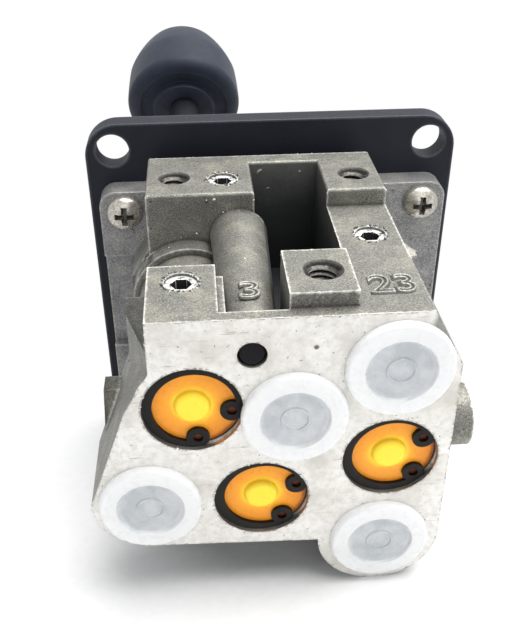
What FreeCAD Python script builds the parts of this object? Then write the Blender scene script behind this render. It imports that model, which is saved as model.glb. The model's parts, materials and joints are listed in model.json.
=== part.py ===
import FreeCAD
import Part

import math
import operator
import os

import Sketcher
from FreeCAD import Placement, Rotation, Vector

# Tipper control valve: an air valve worked by a lever, mounted from behind a panel.
# Millimetres. X runs to the right along the faceplate, Y out of the panel towards the knob, Z up.
# The origin is the centre of the faceplate's mounting face.
# Places inside the valve are given from the top edge of its port face: x as above, depth along +Y,
# height along +Z.

DIMENSIONS = {
    # Faceplate
    "plate_width": 100.0,
    "plate_thickness": 6.0,
    "plate_corner": 9.0,
    "plate_hole": 9.0,
    "plate_hole_inset": 7.25,
    # Lever housing
    "flange_width": 93.8,
    "flange_height": 67.7,
    "flange_thickness": 7.0,
    "flange_corner": 4.5,
    "flange_recess": 2.5,
    "flange_recess_width": 8.0,
    "flange_pad_height": 19.0,
    "ear_thickness": 3.8,
    "ear_radius": 7.5,
    # Valve body
    "body_length": 72.2,
    "terrace_height": 38.75,
    "front_depth": 22.2,
    "front_left": -31.8,
    "front_left_drop": 12.0,
    "terrace_left": 10.5,
    "terrace_right": 24.9,
    "block_rise": 4.3,
    "block_edge": 0.8,
    "rear_block_depth": 49.0,
    "rear_block_left": -33.0,
    "rear_block_right": -7.0,
    "rail_depth": 67.5,
    "cavity_drop": 27.0,
    "front_block_left": -3.4,
    "front_block_start": 3.4,
    "front_block_end": 21.1,
    "front_block_rise": 3.3,
    "corner_block_right": -17.4,
    "channel_start": 3.0,
    "channel_drop": 12.5,
    "ledge_width": 1.6,
    "ledge_drop": 3.0,
    "rib_x": -10.9,
    "rib_drop": 6.9,
    "rib_front": 10.8,
    "rib_rear": 14.0,
    "core_left": -36.5,
    "core_right": 31.0,
    "core_top": -21.7,
    "core_bottom": -64.0,
    "collar_depth": 60.0,
    "collar_left": -38.7,
    "collar_right": 33.0,
    "collar_top": -14.0,
    "collar_bevel": 6.0,
    "collar_bottom": -69.0,
    "bore_boss": 28.0,
    "bore_boss_start": 44.0,
    "bore_sleeve": 24.8,
    "shoulder_left": -37.0,
    "shoulder_front_left": -36.5,
    "shoulder_depth": 15.0,
    "shoulder_top": -7.3,
    "shoulder_bottom": -26.0,
    "port_boss": 26.0,
    "foot_boss": 28.2,
    "side_boss": 14.0,
    "side_boss_reach": 37.7,
    "side_boss_depth": 10.0,
    "side_boss_z": -34.3,
    "side_pad_reach": -43.4,
    "side_pad_low_reach": -44.6,
    "side_pad_start": 17.0,
    "side_pad_top": -28.2,
    "side_pad_bottom": -55.0,
    # Bores and their places on the port face
    "bore_1_x": -23.4,
    "bore_1_z": -21.7,
    "bore_2_x": -9.2,
    "bore_2_z": -47.5,
    "bore_3_x": 18.9,
    "bore_3_z": -37.4,
    "bore": 21.0,
    "bore_seat": 13.0,
    "spool_bore": 13.0,
    "piston_bore_depth": 44.0,
    # Ports and their places on the port face
    "port_1_x": -33.7,
    "port_1_z": -47.3,
    "port_2_x": -2.3,
    "port_2_z": -24.3,
    "port_3_x": 18.9,
    "port_3_z": -13.0,
    "port_4_x": 18.0,
    "port_4_z": -61.6,
    "port_hole": 16.2,
    "port_depth": 14.0,
    # Threaded holes in the upper side
    "rear_thread": 6.8,
    "rear_thread_depth": 12.0,
    "left_thread_x": -26.1,
    "left_thread_y": 59.0,
    "right_thread_x": 18.5,
    "right_thread_y": 58.4,
    "front_thread": 7.4,
    "front_thread_depth": 12.0,
    "front_thread_x": 4.4,
    "front_thread_y": 12.4,
    "thread_bevel": 0.6,
    # Sealing screws in the upper side and the drillings that they close
    "seal_screw": 7.0,
    "seal_screw_length": 7.0,
    "seal_screw_sink": 0.6,
    "seal_screw_socket": 4.0,
    "seal_screw_1_x": -24.6,
    "seal_screw_1_y": 15.4,
    "seal_screw_2_x": 18.3,
    "seal_screw_2_y": 33.6,
    "seal_screw_3_x": -14.2,
    "seal_screw_3_y": 57.6,
    "drilling": 4.0,
    "blind_drilling_depth": 11.0,
    # Vent plug in the port face
    "vent": 6.1,
    "vent_depth": 6.0,
    "vent_sink": 0.4,
    "vent_round": 1.0,
    "vent_gap": 0.5,
    "vent_x": -11.0,
    "vent_z": -8.5,
    # Rings and plugs that close the bores
    "ring_groove": 22.0,
    "ring_groove_width": 1.1,
    "ring_depth": 1.0,
    "ring_thickness": 1.0,
    "ring_opening": 17.6,
    "ring_offset": 0.6,
    "ring_lug": 5.0,
    "ring_lug_hole": 2.0,
    "ring_lug_radius": 8.3,
    "ring_lug_angle": 37.0,
    "ring_turn_1": -47.0,
    "ring_turn_2": -18.0,
    "ring_turn_3": -8.0,
    "plug_clearance": 0.15,
    "plug_boss": 7.6,
    "plug_boss_rise": 1.4,
    "plug_boss_round": 1.2,
    "plug_cup": 8.6,
    "plug_cup_depth": 5.0,
    "plug_seal_start": 7.0,
    "plug_seal": 1.8,
    # Dust plugs in the ports
    "cap_flange": 22.6,
    "cap_flange_thickness": 2.0,
    "cap_rim_inside": 15.0,
    "cap_recess": 0.8,
    "cap_skin": 1.0,
    "cap_stem_length": 8.5,
    "cap_stem_wall": 1.0,
    "cap_stem_clearance": 0.1,
    "cap_stem_taper": 0.2,
    "cap_edge": 0.9,
    "cap_mark": 6.2,
    "cap_mark_width": 0.4,
    "cap_mark_rise": 0.3,
    # Lever
    "lever_x": -24.1,
    "pivot_depth": 64.0,
    "lever_tilt": 20.0,
    "lever_diameter": 10.0,
    "lever_neck": 8.0,
    "lever_neck_start": 5.5,
    "lever_room": 1.5,
    "window_room": 0.8,
    "knob_start": 89.1,
    "knob_neck_length": 20.0,
    "knob_rim": 38.2,
    "knob_side_radius": 180.0,
    "knob_shoulder": 37.2,
    "knob_shoulder_height": 15.2,
    "knob_shoulder_radius": 60.0,
    "knob_crown": 27.6,
    "knob_crown_height": 28.3,
    "knob_length": 33.5,
    "knob_hollow": 7.0,
    "knob_edge": 3.6,
    "knob_lip": 0.8,
    "knob_hub": 21.0,
    # Rocker
    "chamber_margin": 1.0,
    "rocker_left": -30.6,
    "rocker_right": -4.0,
    "rocker_radius": 6.4,
    "rocker_boss": 12.0,
    "rocker_boss_length": 13.0,
    "cam_reach": 8.0,
    "cam_1_width": 9.0,
    "cam_2_width": 8.0,
    "cam_clearance": 0.15,
    "cam_margin": 2.0,
    "cam_tip": 0.3,
    "cam_thickness": 4.5,
    "cam_waist_depth": 3.0,
    "cam_waist_share": 0.55,
    "cam_root_depth": 5.1,
    "cam_root_height": 3.2,
    "roll_pin": 2.5,
    "roll_pin_place": 9.5,
    "pivot_pin": 8.0,
    "pivot_clearance": 0.05,
    "bush_wall": 1.0,
    "clip_thickness": 0.7,
    "clip_diameter": 11.0,
    "clip_margin": 0.6,
    "clip_groove": 6.6,
    "pin_end_gap": 0.2,
    "washer": 14.0,
    "washer_gap": 0.8,
    # Spools
    "spool_clearance": 0.05,
    "spool_start": 21.0,
    "spool_land": 13.0,
    "spool_neck": 9.2,
    "spool_neck_length": 4.0,
    "spool_rear_land": 9.0,
    "spool_tail": 8.0,
    "spool_pocket": 8.4,
    "spool_pocket_depth": 10.0,
    "spool_seal": 1.36,
    "spool_seal_inset": 1.6,
    "spring_diameter": 8.0,
    "spring_wire": 1.0,
    "spring_turns": 5.0,
    "spring_seat": 0.05,
    "piston_length": 10.0,
    "piston_nose": 6.0,
    "piston_nose_length": 2.4,
    # Fasteners
    "pan_screw": 5.0,
    "pan_screw_head": 9.5,
    "pan_screw_head_height": 3.6,
    "pan_screw_length": 12.0,
    "pan_screw_x": 40.2,
    "pan_screw_z": 28.1,
    "pan_screw_crown": 8.55,
    "pan_screw_crown_height": 1.62,
    "pan_screw_edge": 0.54,
    "pan_screw_round": 2.4,
    "pan_screw_cross": 5.2,
    "pan_screw_cross_depth": 2.2,
    "pan_screw_slot": 1.1,
    "bolt": 4.0,
    "bolt_head": 7.0,
    "bolt_head_height": 4.0,
    "bolt_length": 12.0,
    "bolt_socket": 3.0,
    "bolt_seat": 4.6,
    "bolt_left": -29.5,
    "bolt_right": 22.0,
    "bolt_top": -10.2,
    "bolt_bottom": -64.0,
    "hole_clearance": 0.25,
}


class Size:
    """A length or angle that knows its number and its formula in the sheet of sizes."""

    def __init__(self, number, formula):
        self.number = number
        self.formula = formula

    def __add__(self, other):
        return combined(self, "+", other)

    def __radd__(self, other):
        return combined(other, "+", self)

    def __sub__(self, other):
        return combined(self, "-", other)

    def __rsub__(self, other):
        return combined(other, "-", self)

    def __mul__(self, other):
        return combined(self, "*", other)

    def __rmul__(self, other):
        return combined(other, "*", self)

    def __truediv__(self, other):
        return combined(self, "/", other)

    def __neg__(self):
        return combined(0, "-", self)

    def __float__(self):
        return float(self.number)


SIGNS = {"+": operator.add, "-": operator.sub, "*": operator.mul, "/": operator.truediv}


def as_size(value):
    return value if isinstance(value, Size) else Size(float(value), repr(float(value)))


def combined(left, sign, right):
    left = as_size(left)
    right = as_size(right)
    return Size(SIGNS[sign](left.number, right.number), f"({left.formula} {sign} {right.formula})")


class SizeTable:
    """Gives each size of the sheet by its name."""

    def __getattr__(self, name):
        return Size(DIMENSIONS[name], f"Sizes.{name}")

    def numbered(self, pattern, number):
        return getattr(self, pattern.format(number))


sizes = SizeTable()
document = FreeCAD.newDocument("TipperControlValve")
sheet = document.addObject("Spreadsheet::Sheet", "Sizes")
for row, (name, number) in enumerate(DIMENSIONS.items(), start=1):
    sheet.set(f"A{row}", name)
    sheet.set(f"B{row}", str(number))
    sheet.setAlias(f"B{row}", name)
document.recompute()

SUBPARTS = []
TURNS = {
    "x": Rotation(Vector(0, 1, 0), 90),
    "y": Rotation(Vector(1, 0, 0), -90),
    "z": Rotation(),
}
RADIANS = math.pi / 180
# The small flat in the middle of each dome, which keeps its curve off the axis
DOME_FLAT = 0.3
# How far blocks that join run into each other
MERGE = 1.0
# The largest difference between two places that count as the same
SAME = 0.01
# How many times taller than wide the collar's sloping corners are
COLLAR_SLOPE = 1.6
# How many stretches the curve of a cam face has
CAM_STEPS = 6

# Sizes worked out from the sheet
port_face_y = -(sizes.flange_thickness + sizes.body_length)
pivot_z = -sizes.terrace_height
arm_1 = sizes.bore_1_z - pivot_z
arm_2 = sizes.bore_2_z - pivot_z
tilt = sizes.lever_tilt * RADIANS
spool_rear = sizes.pivot_depth - sizes.cam_reach - sizes.cam_clearance
pocket_floor = sizes.spool_start + sizes.spool_pocket_depth
plug_face = sizes.ring_depth + (sizes.ring_groove_width + sizes.ring_thickness) / 2
cup_floor = sizes.bore_seat - sizes.plug_cup_depth
left_ear_outside = sizes.rocker_left - sizes.pivot_clearance - sizes.ear_thickness
right_ear_inside = sizes.rocker_right + sizes.washer_gap
right_ear_outside = right_ear_inside + sizes.ear_thickness
pin_left = left_ear_outside - sizes.clip_thickness - sizes.clip_margin
pin_right = right_ear_outside + sizes.clip_thickness + sizes.clip_margin
chamber_left = pin_left - sizes.pin_end_gap
chamber_right = pin_right + sizes.pin_end_gap
piston_start = sizes.bore_seat + sizes.hole_clearance + sizes.piston_nose_length
piston_seal_place = piston_start + sizes.piston_length / 4
piston_spring_start = piston_start + sizes.piston_length / 2
spool_seal_floor = sizes.spool_bore / 2 - sizes.spool_clearance - sizes.spool_seal


def bind(item, path, value):
    item.setExpression(path, as_size(value).formula)


def place(item, x=0, y=0, z=0, axis=Vector(0, 0, 1), angle=0):
    item.Placement = Placement(Vector(), Rotation(axis, float(angle)))
    for letter, value in zip("xyz", (x, y, z)):
        bind(item, f"Placement.Base.{letter}", value)
    if isinstance(angle, Size):
        bind(item, "Placement.Rotation.Angle", angle)


def place_in_valve(item, x=0, depth=0, z=0, axis=Vector(0, 1, 0), angle=0):
    """Places a piece by its distance from the top edge of the port face."""
    place(item, x, port_face_y + depth, sizes.terrace_height + z, axis, angle)


def place_on_lever(item, x):
    """Places a piece modelled along +Y from the pivot, turned by the lever's tilt."""
    place(item, x, port_face_y + sizes.pivot_depth, 0, Vector(1, 0, 0), sizes.lever_tilt)


def new_body(label, counted=True):
    body = document.addObject("PartDesign::Body", label)
    body.Label = label
    if counted:
        SUBPARTS.append(body)
    return body


def plane_of(body, role):
    return next(plane for plane in body.Origin.OriginFeatures if plane.Role == role)


def new_sketch(body, name, role, offset=0):
    sketch = body.newObject("Sketcher::SketchObject", name)
    sketch.AttachmentSupport = [(plane_of(body, role), "")]
    sketch.MapMode = "FlatFace"
    bind(sketch, "AttachmentOffset.Base.z", offset)
    return sketch


def pin_point(sketch, shape, end, u, v):
    """Ties a point of a sketch to its distances from the sketch's origin."""
    for kind, value in (("DistanceX", u), ("DistanceY", v)):
        index = sketch.addConstraint(Sketcher.Constraint(kind, -1, 1, shape, end, float(value)))
        bind(sketch, f"Constraints[{index}]", value)


def arc_between(start, end, radius, side):
    """The arc of the given radius from start to end, on the left of that line for side 1."""
    chord = end - start
    half = chord.Length / 2
    across = Vector(-chord.y, chord.x, 0).normalize() * side
    rise = math.sqrt(max(radius * radius - half * half, 0))
    centre = start + chord / 2 - across * rise
    angles = [math.atan2(point.y - centre.y, point.x - centre.x) for point in (start, end)]
    if side > 0:
        angles.reverse()
    if angles[1] < angles[0]:
        angles[1] += 2 * math.pi
    return Part.ArcOfCircle(Part.Circle(centre, Vector(0, 0, 1), radius), *angles)


def add_outline(sketch, points):
    """Draws a closed outline. A point is (u, v), or (u, v, radius, side) where an arc leads to it."""
    corners = [Vector(float(point[0]), float(point[1]), 0) for point in points]
    first = None
    for index, point in enumerate(points):
        start = corners[index - 1]
        end = corners[index]
        if len(point) == 2:
            shape = sketch.addGeometry(Part.LineSegment(start, end), False)
            ends = (1, 2)
        else:
            shape = sketch.addGeometry(arc_between(start, end, float(point[2]), point[3]), False)
            ends = (1, 2) if point[3] < 0 else (2, 1)
            radius = sketch.addConstraint(Sketcher.Constraint("Radius", shape, float(point[2])))
            bind(sketch, f"Constraints[{radius}]", point[2])
        pin_point(sketch, shape, ends[1], point[0], point[1])
        if first is None:
            first = (shape, ends[0])
        else:
            sketch.addConstraint(Sketcher.Constraint("Coincident", *previous, shape, ends[0]))
        previous = (shape, ends[1])
    sketch.addConstraint(Sketcher.Constraint("Coincident", *previous, *first))


def add_circle(sketch, u, v, radius):
    circle = Part.Circle(Vector(float(u), float(v), 0), Vector(0, 0, 1), float(radius))
    shape = sketch.addGeometry(circle, False)
    pin_point(sketch, shape, 3, u, v)
    index = sketch.addConstraint(Sketcher.Constraint("Radius", shape, float(radius)))
    bind(sketch, f"Constraints[{index}]", radius)


def pad(body, sketch, length, towards_depth=True):
    feature = body.newObject("PartDesign::Pad", sketch.Name + "Pad")
    feature.Profile = sketch
    feature.Reversed = towards_depth
    feature.Refine = False
    bind(feature, "Length", length)
    return feature


def pocket(body, sketch, length, towards_depth=True):
    feature = body.newObject("PartDesign::Pocket", sketch.Name + "Pocket")
    feature.Profile = sketch
    feature.Reversed = not towards_depth
    feature.Refine = False
    bind(feature, "Length", length)
    return feature


def drill(body, name, role, offset, places, diameter, depth, towards_depth=True):
    """Cuts equal round holes side by side from a plane of the body."""
    sketch = new_sketch(body, name, role, offset)
    for u, v in places:
        add_circle(sketch, u, v, diameter / 2)
    return pocket(body, sketch, depth, towards_depth)


def primitive(body, kind, name, corner, along="z"):
    feature = body.newObject(f"PartDesign::{kind}", name)
    feature.AttachmentSupport = [(plane_of(body, "XY_Plane"), "")]
    feature.MapMode = "FlatFace"
    feature.AttachmentOffset = Placement(Vector(), TURNS[along])
    feature.Refine = False
    for letter, value in zip("xyz", corner):
        bind(feature, f"AttachmentOffset.Base.{letter}", value)
    return feature


def block(body, name, x_range, y_range, z_range, cut=False):
    kind = "SubtractiveBox" if cut else "AdditiveBox"
    corner = (x_range[0], y_range[0], z_range[0])
    feature = primitive(body, kind, name, corner)
    bind(feature, "Length", x_range[1] - x_range[0])
    bind(feature, "Width", y_range[1] - y_range[0])
    bind(feature, "Height", z_range[1] - z_range[0])
    return feature


def bar(body, name, start, along, length, diameter, cut=False):
    kind = "SubtractiveCylinder" if cut else "AdditiveCylinder"
    feature = primitive(body, kind, name, start, along)
    bind(feature, "Radius", as_size(diameter) / 2)
    bind(feature, "Height", length)
    return feature


def bevel_hole(body, name, start, diameter, bevel):
    """A countersink that widens upwards to the face that the hole opens in."""
    x, y, z = start
    feature = primitive(body, "SubtractiveCone", name, (x, y, z - bevel))
    bind(feature, "Radius1", diameter / 2)
    bind(feature, "Radius2", diameter / 2 + bevel)
    bind(feature, "Height", bevel)
    return feature


def socket(body, name, start, along, depth, across_flats):
    feature = primitive(body, "SubtractivePrism", name, start, along)
    feature.Polygon = 6
    bind(feature, "Circumradius", as_size(across_flats) / math.sqrt(3))
    bind(feature, "Height", depth)
    return feature


def turned(body, name, points):
    """Turns an outline of (distance along the axis, radius) points about the body's Y axis."""
    sketch = new_sketch(body, name + "Outline", "YZ_Plane")
    add_outline(sketch, points)
    feature = body.newObject("PartDesign::Revolution", name)
    feature.Profile = sketch
    feature.ReferenceAxis = (sketch, ["H_Axis"])
    feature.Angle = 360
    return feature


def group(label, pieces):
    """Joins loose pieces of one kind into one sub-part, each still a solid of its own."""
    compound = document.addObject("Part::Compound", label)
    compound.Label = label
    compound.Links = pieces
    SUBPARTS.append(compound)
    return compound


def edges_where(feature, test):
    """Names the straight edges of a feature whose two ends pass a test."""
    names = []
    for number, edge in enumerate(feature.Shape.Edges, start=1):
        if len(edge.Vertexes) == 2 and edge.Curve.TypeId == "Part::GeomLine":
            if test(edge.Vertexes[0].Point, edge.Vertexes[1].Point):
                names.append(f"Edge{number}")
    return names


def runs_through(start, end):
    return abs(start.y - end.y) > SAME


def corner_places(x, z):
    """The four places that lie this far left and right of the middle and above and below it."""
    return [(column, line) for column in (-x, x) for line in (-z, z)]


def bore_place(number):
    return sizes.numbered("bore_{}_x", number), sizes.numbered("bore_{}_z", number)


def rounded(body, name, radius, test):
    base = body.Tip
    base.Refine = True
    document.recompute()
    names = edges_where(base, test)
    feature = body.newObject("PartDesign::Fillet", name)
    feature.Base = (base, names)
    bind(feature, "Radius", radius)
    return feature


def make_faceplate():
    body = new_body("faceplate")
    half = sizes.plate_width / 2
    block(body, "Panel", (-half, half), (0, sizes.plate_thickness), (-half, half))
    rounded(body, "PanelCorners", sizes.plate_corner, runs_through)
    inset = half - sizes.plate_hole_inset
    drill(
        body, "PanelHoles", "XZ_Plane", -sizes.plate_thickness, corner_places(inset, inset),
        sizes.plate_hole, sizes.plate_thickness, towards_depth=False,
    )
    reach = sizes.flange_thickness + sizes.body_length - sizes.pivot_depth + sizes.plate_thickness
    slot_side = sizes.lever_diameter / 2 + sizes.lever_room
    slot_half = reach * math.tan(float(tilt)) + slot_side
    slot = new_sketch(body, "LeverSlot", "XZ_Plane", -sizes.plate_thickness)
    left = sizes.lever_x - slot_side
    right = sizes.lever_x + slot_side
    straight = slot_half - slot_side
    add_outline(slot, [
        (left, -straight),
        (sizes.lever_x, -slot_half, slot_side, -1),
        (right, -straight, slot_side, -1),
        (right, straight),
        (sizes.lever_x, slot_half, slot_side, -1),
        (left, straight, slot_side, -1),
    ])
    pocket(body, slot, sizes.plate_thickness, towards_depth=False)
    screws = corner_places(sizes.pan_screw_x, sizes.pan_screw_z)
    depth = sizes.pan_screw_length - sizes.flange_thickness
    drill(
        body, "TappedHoles", "XZ_Plane", -depth, screws, sizes.pan_screw, depth, towards_depth=False,
    )
    place(body)


def make_lever_housing():
    body = new_body("lever_housing")
    half_width = sizes.flange_width / 2
    half_height = sizes.flange_height / 2
    thickness = sizes.flange_thickness
    block(body, "Flange", (-half_width, half_width), (-thickness, 0), (-half_height, half_height))
    rounded(body, "FlangeCorners", sizes.flange_corner, runs_through)
    recess_half = half_height - sizes.flange_pad_height
    block(
        body, "SideRecess",
        (-half_width, -half_width + sizes.flange_recess_width),
        (-thickness, -thickness + sizes.flange_recess),
        (-recess_half, recess_half), cut=True,
    )
    front = sizes.pivot_depth - sizes.body_length - thickness
    ears = (
        ("Left", left_ear_outside, sizes.ear_thickness),
        ("Right", right_ear_inside, sizes.ear_thickness),
    )
    ear_height = (-sizes.ear_radius, sizes.ear_radius)
    for side, x, width in ears:
        block(body, f"{side}Ear", (x, x + width), (front, -thickness), ear_height)
        bar(body, f"{side}EarEnd", (x, front, 0), "x", width, sizes.ear_radius * 2)
    bush_hole = sizes.pivot_pin + (sizes.pivot_clearance + sizes.bush_wall) * 2
    for side, x, width in ears:
        bar(body, f"{side}EarHole", (x, front, 0), "x", width, bush_hole, cut=True)
    window = sizes.rocker_boss / 2 + sizes.window_room
    boss_half = sizes.rocker_boss / 2 + sizes.lever_room
    window_half = (thickness - front) * math.tan(float(tilt)) + boss_half
    block(
        body, "LeverWindow",
        (sizes.lever_x - window, sizes.lever_x + window),
        (-thickness, 0), (-window_half, window_half), cut=True,
    )
    screws = corner_places(sizes.pan_screw_x, sizes.pan_screw_z)
    screw_hole = sizes.pan_screw + sizes.hole_clearance * 2
    bolt_hole = sizes.bolt + sizes.hole_clearance * 2
    bolt_seat = sizes.bolt_head + sizes.hole_clearance * 2
    drill(body, "ScrewHoles", "XZ_Plane", thickness, screws, screw_hole, thickness)
    drill(body, "BoltHoles", "XZ_Plane", thickness, bolt_places(), bolt_hole, thickness)
    drill(body, "BoltSeats", "XZ_Plane", sizes.bolt_seat, bolt_places(), bolt_seat, sizes.bolt_seat)
    place(body)


def bolt_places():
    top = sizes.terrace_height + sizes.bolt_top
    bottom = sizes.terrace_height + sizes.bolt_bottom
    return [(x, z) for x in (sizes.bolt_left, sizes.bolt_right) for z in (top, bottom)]


def make_valve_body():
    body = new_body("valve_body")
    front = sizes.front_depth
    length = sizes.body_length
    add_rear_blocks(body)
    add_front_part(body)
    core_z = (sizes.core_bottom, sizes.core_top)
    block(body, "Core", (sizes.core_left, sizes.core_right), (front / 2, length), core_z)
    add_collar(body)
    below = sizes.core_top - MERGE
    block(
        body, "Terrace", (sizes.terrace_left, sizes.terrace_right), (front / 2, length), (below, 0),
    )
    block(
        body, "Cavity", (sizes.rear_block_right, sizes.terrace_left),
        (front - MERGE, sizes.rail_depth), (-sizes.cavity_drop, MERGE), cut=True,
    )
    block(
        body, "Channel", (sizes.corner_block_right, sizes.front_block_left),
        (sizes.channel_start, front + MERGE), (-sizes.channel_drop, MERGE), cut=True,
    )
    block(
        body, "FrontBlock", (sizes.front_block_left, sizes.terrace_left),
        (sizes.front_block_start, sizes.front_block_end), (-sizes.channel_drop, sizes.front_block_rise),
    )
    add_rib(body)
    side_boss_start = sizes.core_right - MERGE
    bar(
        body, "SideBoss", (side_boss_start, sizes.side_boss_depth, sizes.side_boss_z), "x",
        sizes.side_boss_reach - side_boss_start, sizes.side_boss,
    )
    add_left_side(body)
    cut_port_face(body)
    cut_upper_side(body)
    cut_rear_side(body)
    place_in_valve(body)


def add_rear_blocks(body):
    """The two blocks behind the open pocket and the rail that joins them, with rounded upper edges."""
    below = sizes.core_top - MERGE
    blocks = new_sketch(body, "RearBlocks", "XY_Plane", below)
    add_outline(blocks, [
        (sizes.rear_block_left, sizes.rear_block_depth),
        (sizes.rear_block_right, sizes.rear_block_depth),
        (sizes.rear_block_right, sizes.rail_depth),
        (sizes.terrace_left, sizes.rail_depth),
        (sizes.terrace_left, sizes.rear_block_depth),
        (sizes.terrace_right, sizes.rear_block_depth),
        (sizes.terrace_right, sizes.body_length),
        (sizes.rear_block_left, sizes.body_length),
    ])
    pad(body, blocks, sizes.block_rise - below, towards_depth=False)
    top = float(sizes.block_rise)
    rear = float(sizes.body_length)
    rounded(
        body, "BlockEdges", sizes.block_edge,
        lambda a, b: min(a.z, b.z) > top - SAME and min(a.y, b.y) < rear - SAME,
    )


def add_front_part(body):
    """The part behind the port face, with rounded bosses at its lower ports, and the boss of bore 1."""
    face = new_sketch(body, "PortFace", "XZ_Plane")
    port_radius = sizes.port_boss / 2
    foot_radius = sizes.foot_boss / 2
    add_outline(face, [
        (sizes.front_left, 0),
        (sizes.front_left, -sizes.front_left_drop),
        (sizes.bore_1_x - sizes.bore_boss / 2, sizes.bore_1_z),
        (sizes.port_1_x - port_radius, sizes.port_1_z),
        (sizes.port_1_x, sizes.port_1_z - port_radius, port_radius, -1),
        (sizes.port_4_x - foot_radius, sizes.port_4_z),
        (sizes.port_4_x, sizes.port_4_z - foot_radius, foot_radius, -1),
        (sizes.port_4_x + foot_radius, sizes.port_4_z, foot_radius, -1),
        (sizes.port_3_x + port_radius, sizes.port_3_z),
        (sizes.terrace_right, 0),
    ])
    pad(body, face, sizes.front_depth)
    boss_length = sizes.rear_block_depth - sizes.bore_boss_start
    bar(
        body, "BoreBoss", (sizes.bore_1_x, sizes.bore_boss_start, sizes.bore_1_z), "y",
        boss_length, sizes.bore_boss,
    )
    bar(
        body, "BoreSleeve", (sizes.bore_1_x, 0, sizes.bore_1_z), "y",
        sizes.rear_block_depth, sizes.bore_sleeve,
    )


def add_rib(body):
    """The rounded rib in the channel, which grows towards the rear, on its web, and the ledge beside it."""
    start = sizes.channel_start
    length = sizes.rear_block_depth - start
    web = sizes.rib_front / 2
    block(
        body, "RibWeb", (sizes.rib_x - web, sizes.rib_x + web),
        (start, sizes.rear_block_depth), (-sizes.cavity_drop, -sizes.rib_drop),
    )
    rib = primitive(body, "AdditiveCone", "Rib", (sizes.rib_x, start, -sizes.rib_drop), "y")
    bind(rib, "Radius1", sizes.rib_front / 2)
    bind(rib, "Radius2", sizes.rib_rear / 2)
    bind(rib, "Height", length)
    block(
        body, "Ledge", (sizes.corner_block_right, sizes.corner_block_right + sizes.ledge_width),
        (start, sizes.front_depth), (-sizes.channel_drop, -sizes.ledge_drop),
    )


def add_left_side(body):
    """The slanted shoulder behind the port face and the pad below it, on the left side."""
    shoulder = new_sketch(body, "Shoulder", "XY_Plane", sizes.shoulder_bottom)
    inside = sizes.front_left + MERGE
    add_outline(shoulder, [
        (inside, 0),
        (sizes.front_left, 0),
        (sizes.shoulder_front_left, sizes.shoulder_depth),
        (sizes.shoulder_left, sizes.front_depth),
        (inside, sizes.front_depth),
    ])
    pad(body, shoulder, sizes.shoulder_top - sizes.shoulder_bottom, towards_depth=False)
    side = new_sketch(body, "SidePad", "XZ_Plane", -sizes.side_pad_start)
    inside = sizes.core_left + MERGE
    add_outline(side, [
        (inside, sizes.side_pad_top),
        (sizes.side_pad_reach, sizes.side_pad_top),
        (sizes.side_pad_low_reach, sizes.port_1_z),
        (sizes.side_pad_low_reach, sizes.side_pad_bottom),
        (inside, sizes.side_pad_bottom),
    ])
    pad(body, side, sizes.front_depth - sizes.side_pad_start)


def add_collar(body):
    """The wide rear end that meets the lever housing, with sloping corners."""
    collar = new_sketch(body, "Collar", "XZ_Plane", -sizes.collar_depth)
    across = sizes.collar_bevel
    down = sizes.collar_bevel * COLLAR_SLOPE
    add_outline(collar, [
        (sizes.collar_left + across, sizes.collar_top),
        (sizes.collar_left, sizes.collar_top - down),
        (sizes.collar_left, sizes.collar_bottom + down),
        (sizes.collar_left + across, sizes.collar_bottom),
        (sizes.collar_right - across, sizes.collar_bottom),
        (sizes.collar_right, sizes.collar_bottom + down),
        (sizes.collar_right, sizes.collar_top - down),
        (sizes.collar_right - across, sizes.collar_top),
    ])
    pad(body, collar, sizes.body_length - sizes.collar_depth)


def numbered_places(kind, numbers):
    patterns = (kind + "_{}_x", kind + "_{}_z")
    return [tuple(sizes.numbered(pattern, number) for pattern in patterns) for number in numbers]


def cut_port_face(body):
    """The bores with their ring grooves, the ports and the vent hole, all from the port face."""
    spool_bores = numbered_places("bore", (1, 2))
    piston_bore = numbered_places("bore", (3,))
    seats = spool_bores + piston_bore
    ports = numbered_places("port", (1, 2, 3, 4))
    drill(body, "Seats", "XZ_Plane", 0, seats, sizes.bore, sizes.bore_seat)
    groove_width = sizes.ring_groove_width
    drill(body, "RingGrooves", "XZ_Plane", -sizes.ring_depth, seats, sizes.ring_groove, groove_width)
    drill(body, "SpoolBores", "XZ_Plane", 0, spool_bores, sizes.spool_bore, sizes.pivot_depth)
    drill(body, "PistonBore", "XZ_Plane", 0, piston_bore, sizes.spool_bore, sizes.piston_bore_depth)
    drill(body, "Ports", "XZ_Plane", 0, ports, sizes.port_hole, sizes.port_depth)
    drill(body, "VentHole", "XZ_Plane", 0, [(sizes.vent_x, sizes.vent_z)], sizes.vent, sizes.vent_depth)


def cut_upper_side(body):
    """The threaded holes and the drillings that the sealing screws close."""
    rear = [(sizes.left_thread_x, sizes.left_thread_y), (sizes.right_thread_x, sizes.right_thread_y)]
    front = [(sizes.front_thread_x, sizes.front_thread_y)]
    threads = (
        ("Rear", rear, sizes.block_rise, sizes.rear_thread, sizes.rear_thread_depth),
        ("Front", front, sizes.front_block_rise, sizes.front_thread, sizes.front_thread_depth),
    )
    for name, places, top, diameter, depth in threads:
        drill(body, f"{name}Threads", "XY_Plane", top, places, diameter, depth)
        for number, (x, y) in enumerate(places):
            bevel_hole(body, f"{name}ThreadBevel{number}", (x, y, top), diameter, sizes.thread_bevel)
    screw_depth = sizes.seal_screw_length + sizes.seal_screw_sink
    for number, (x, y, top, floor) in enumerate(seal_screw_places(), start=1):
        drill(body, f"SealScrewHole{number}", "XY_Plane", top, [(x, y)], sizes.seal_screw, screw_depth)
        drill(body, f"Drilling{number}", "XY_Plane", top, [(x, y)], sizes.drilling, top - floor)


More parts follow.
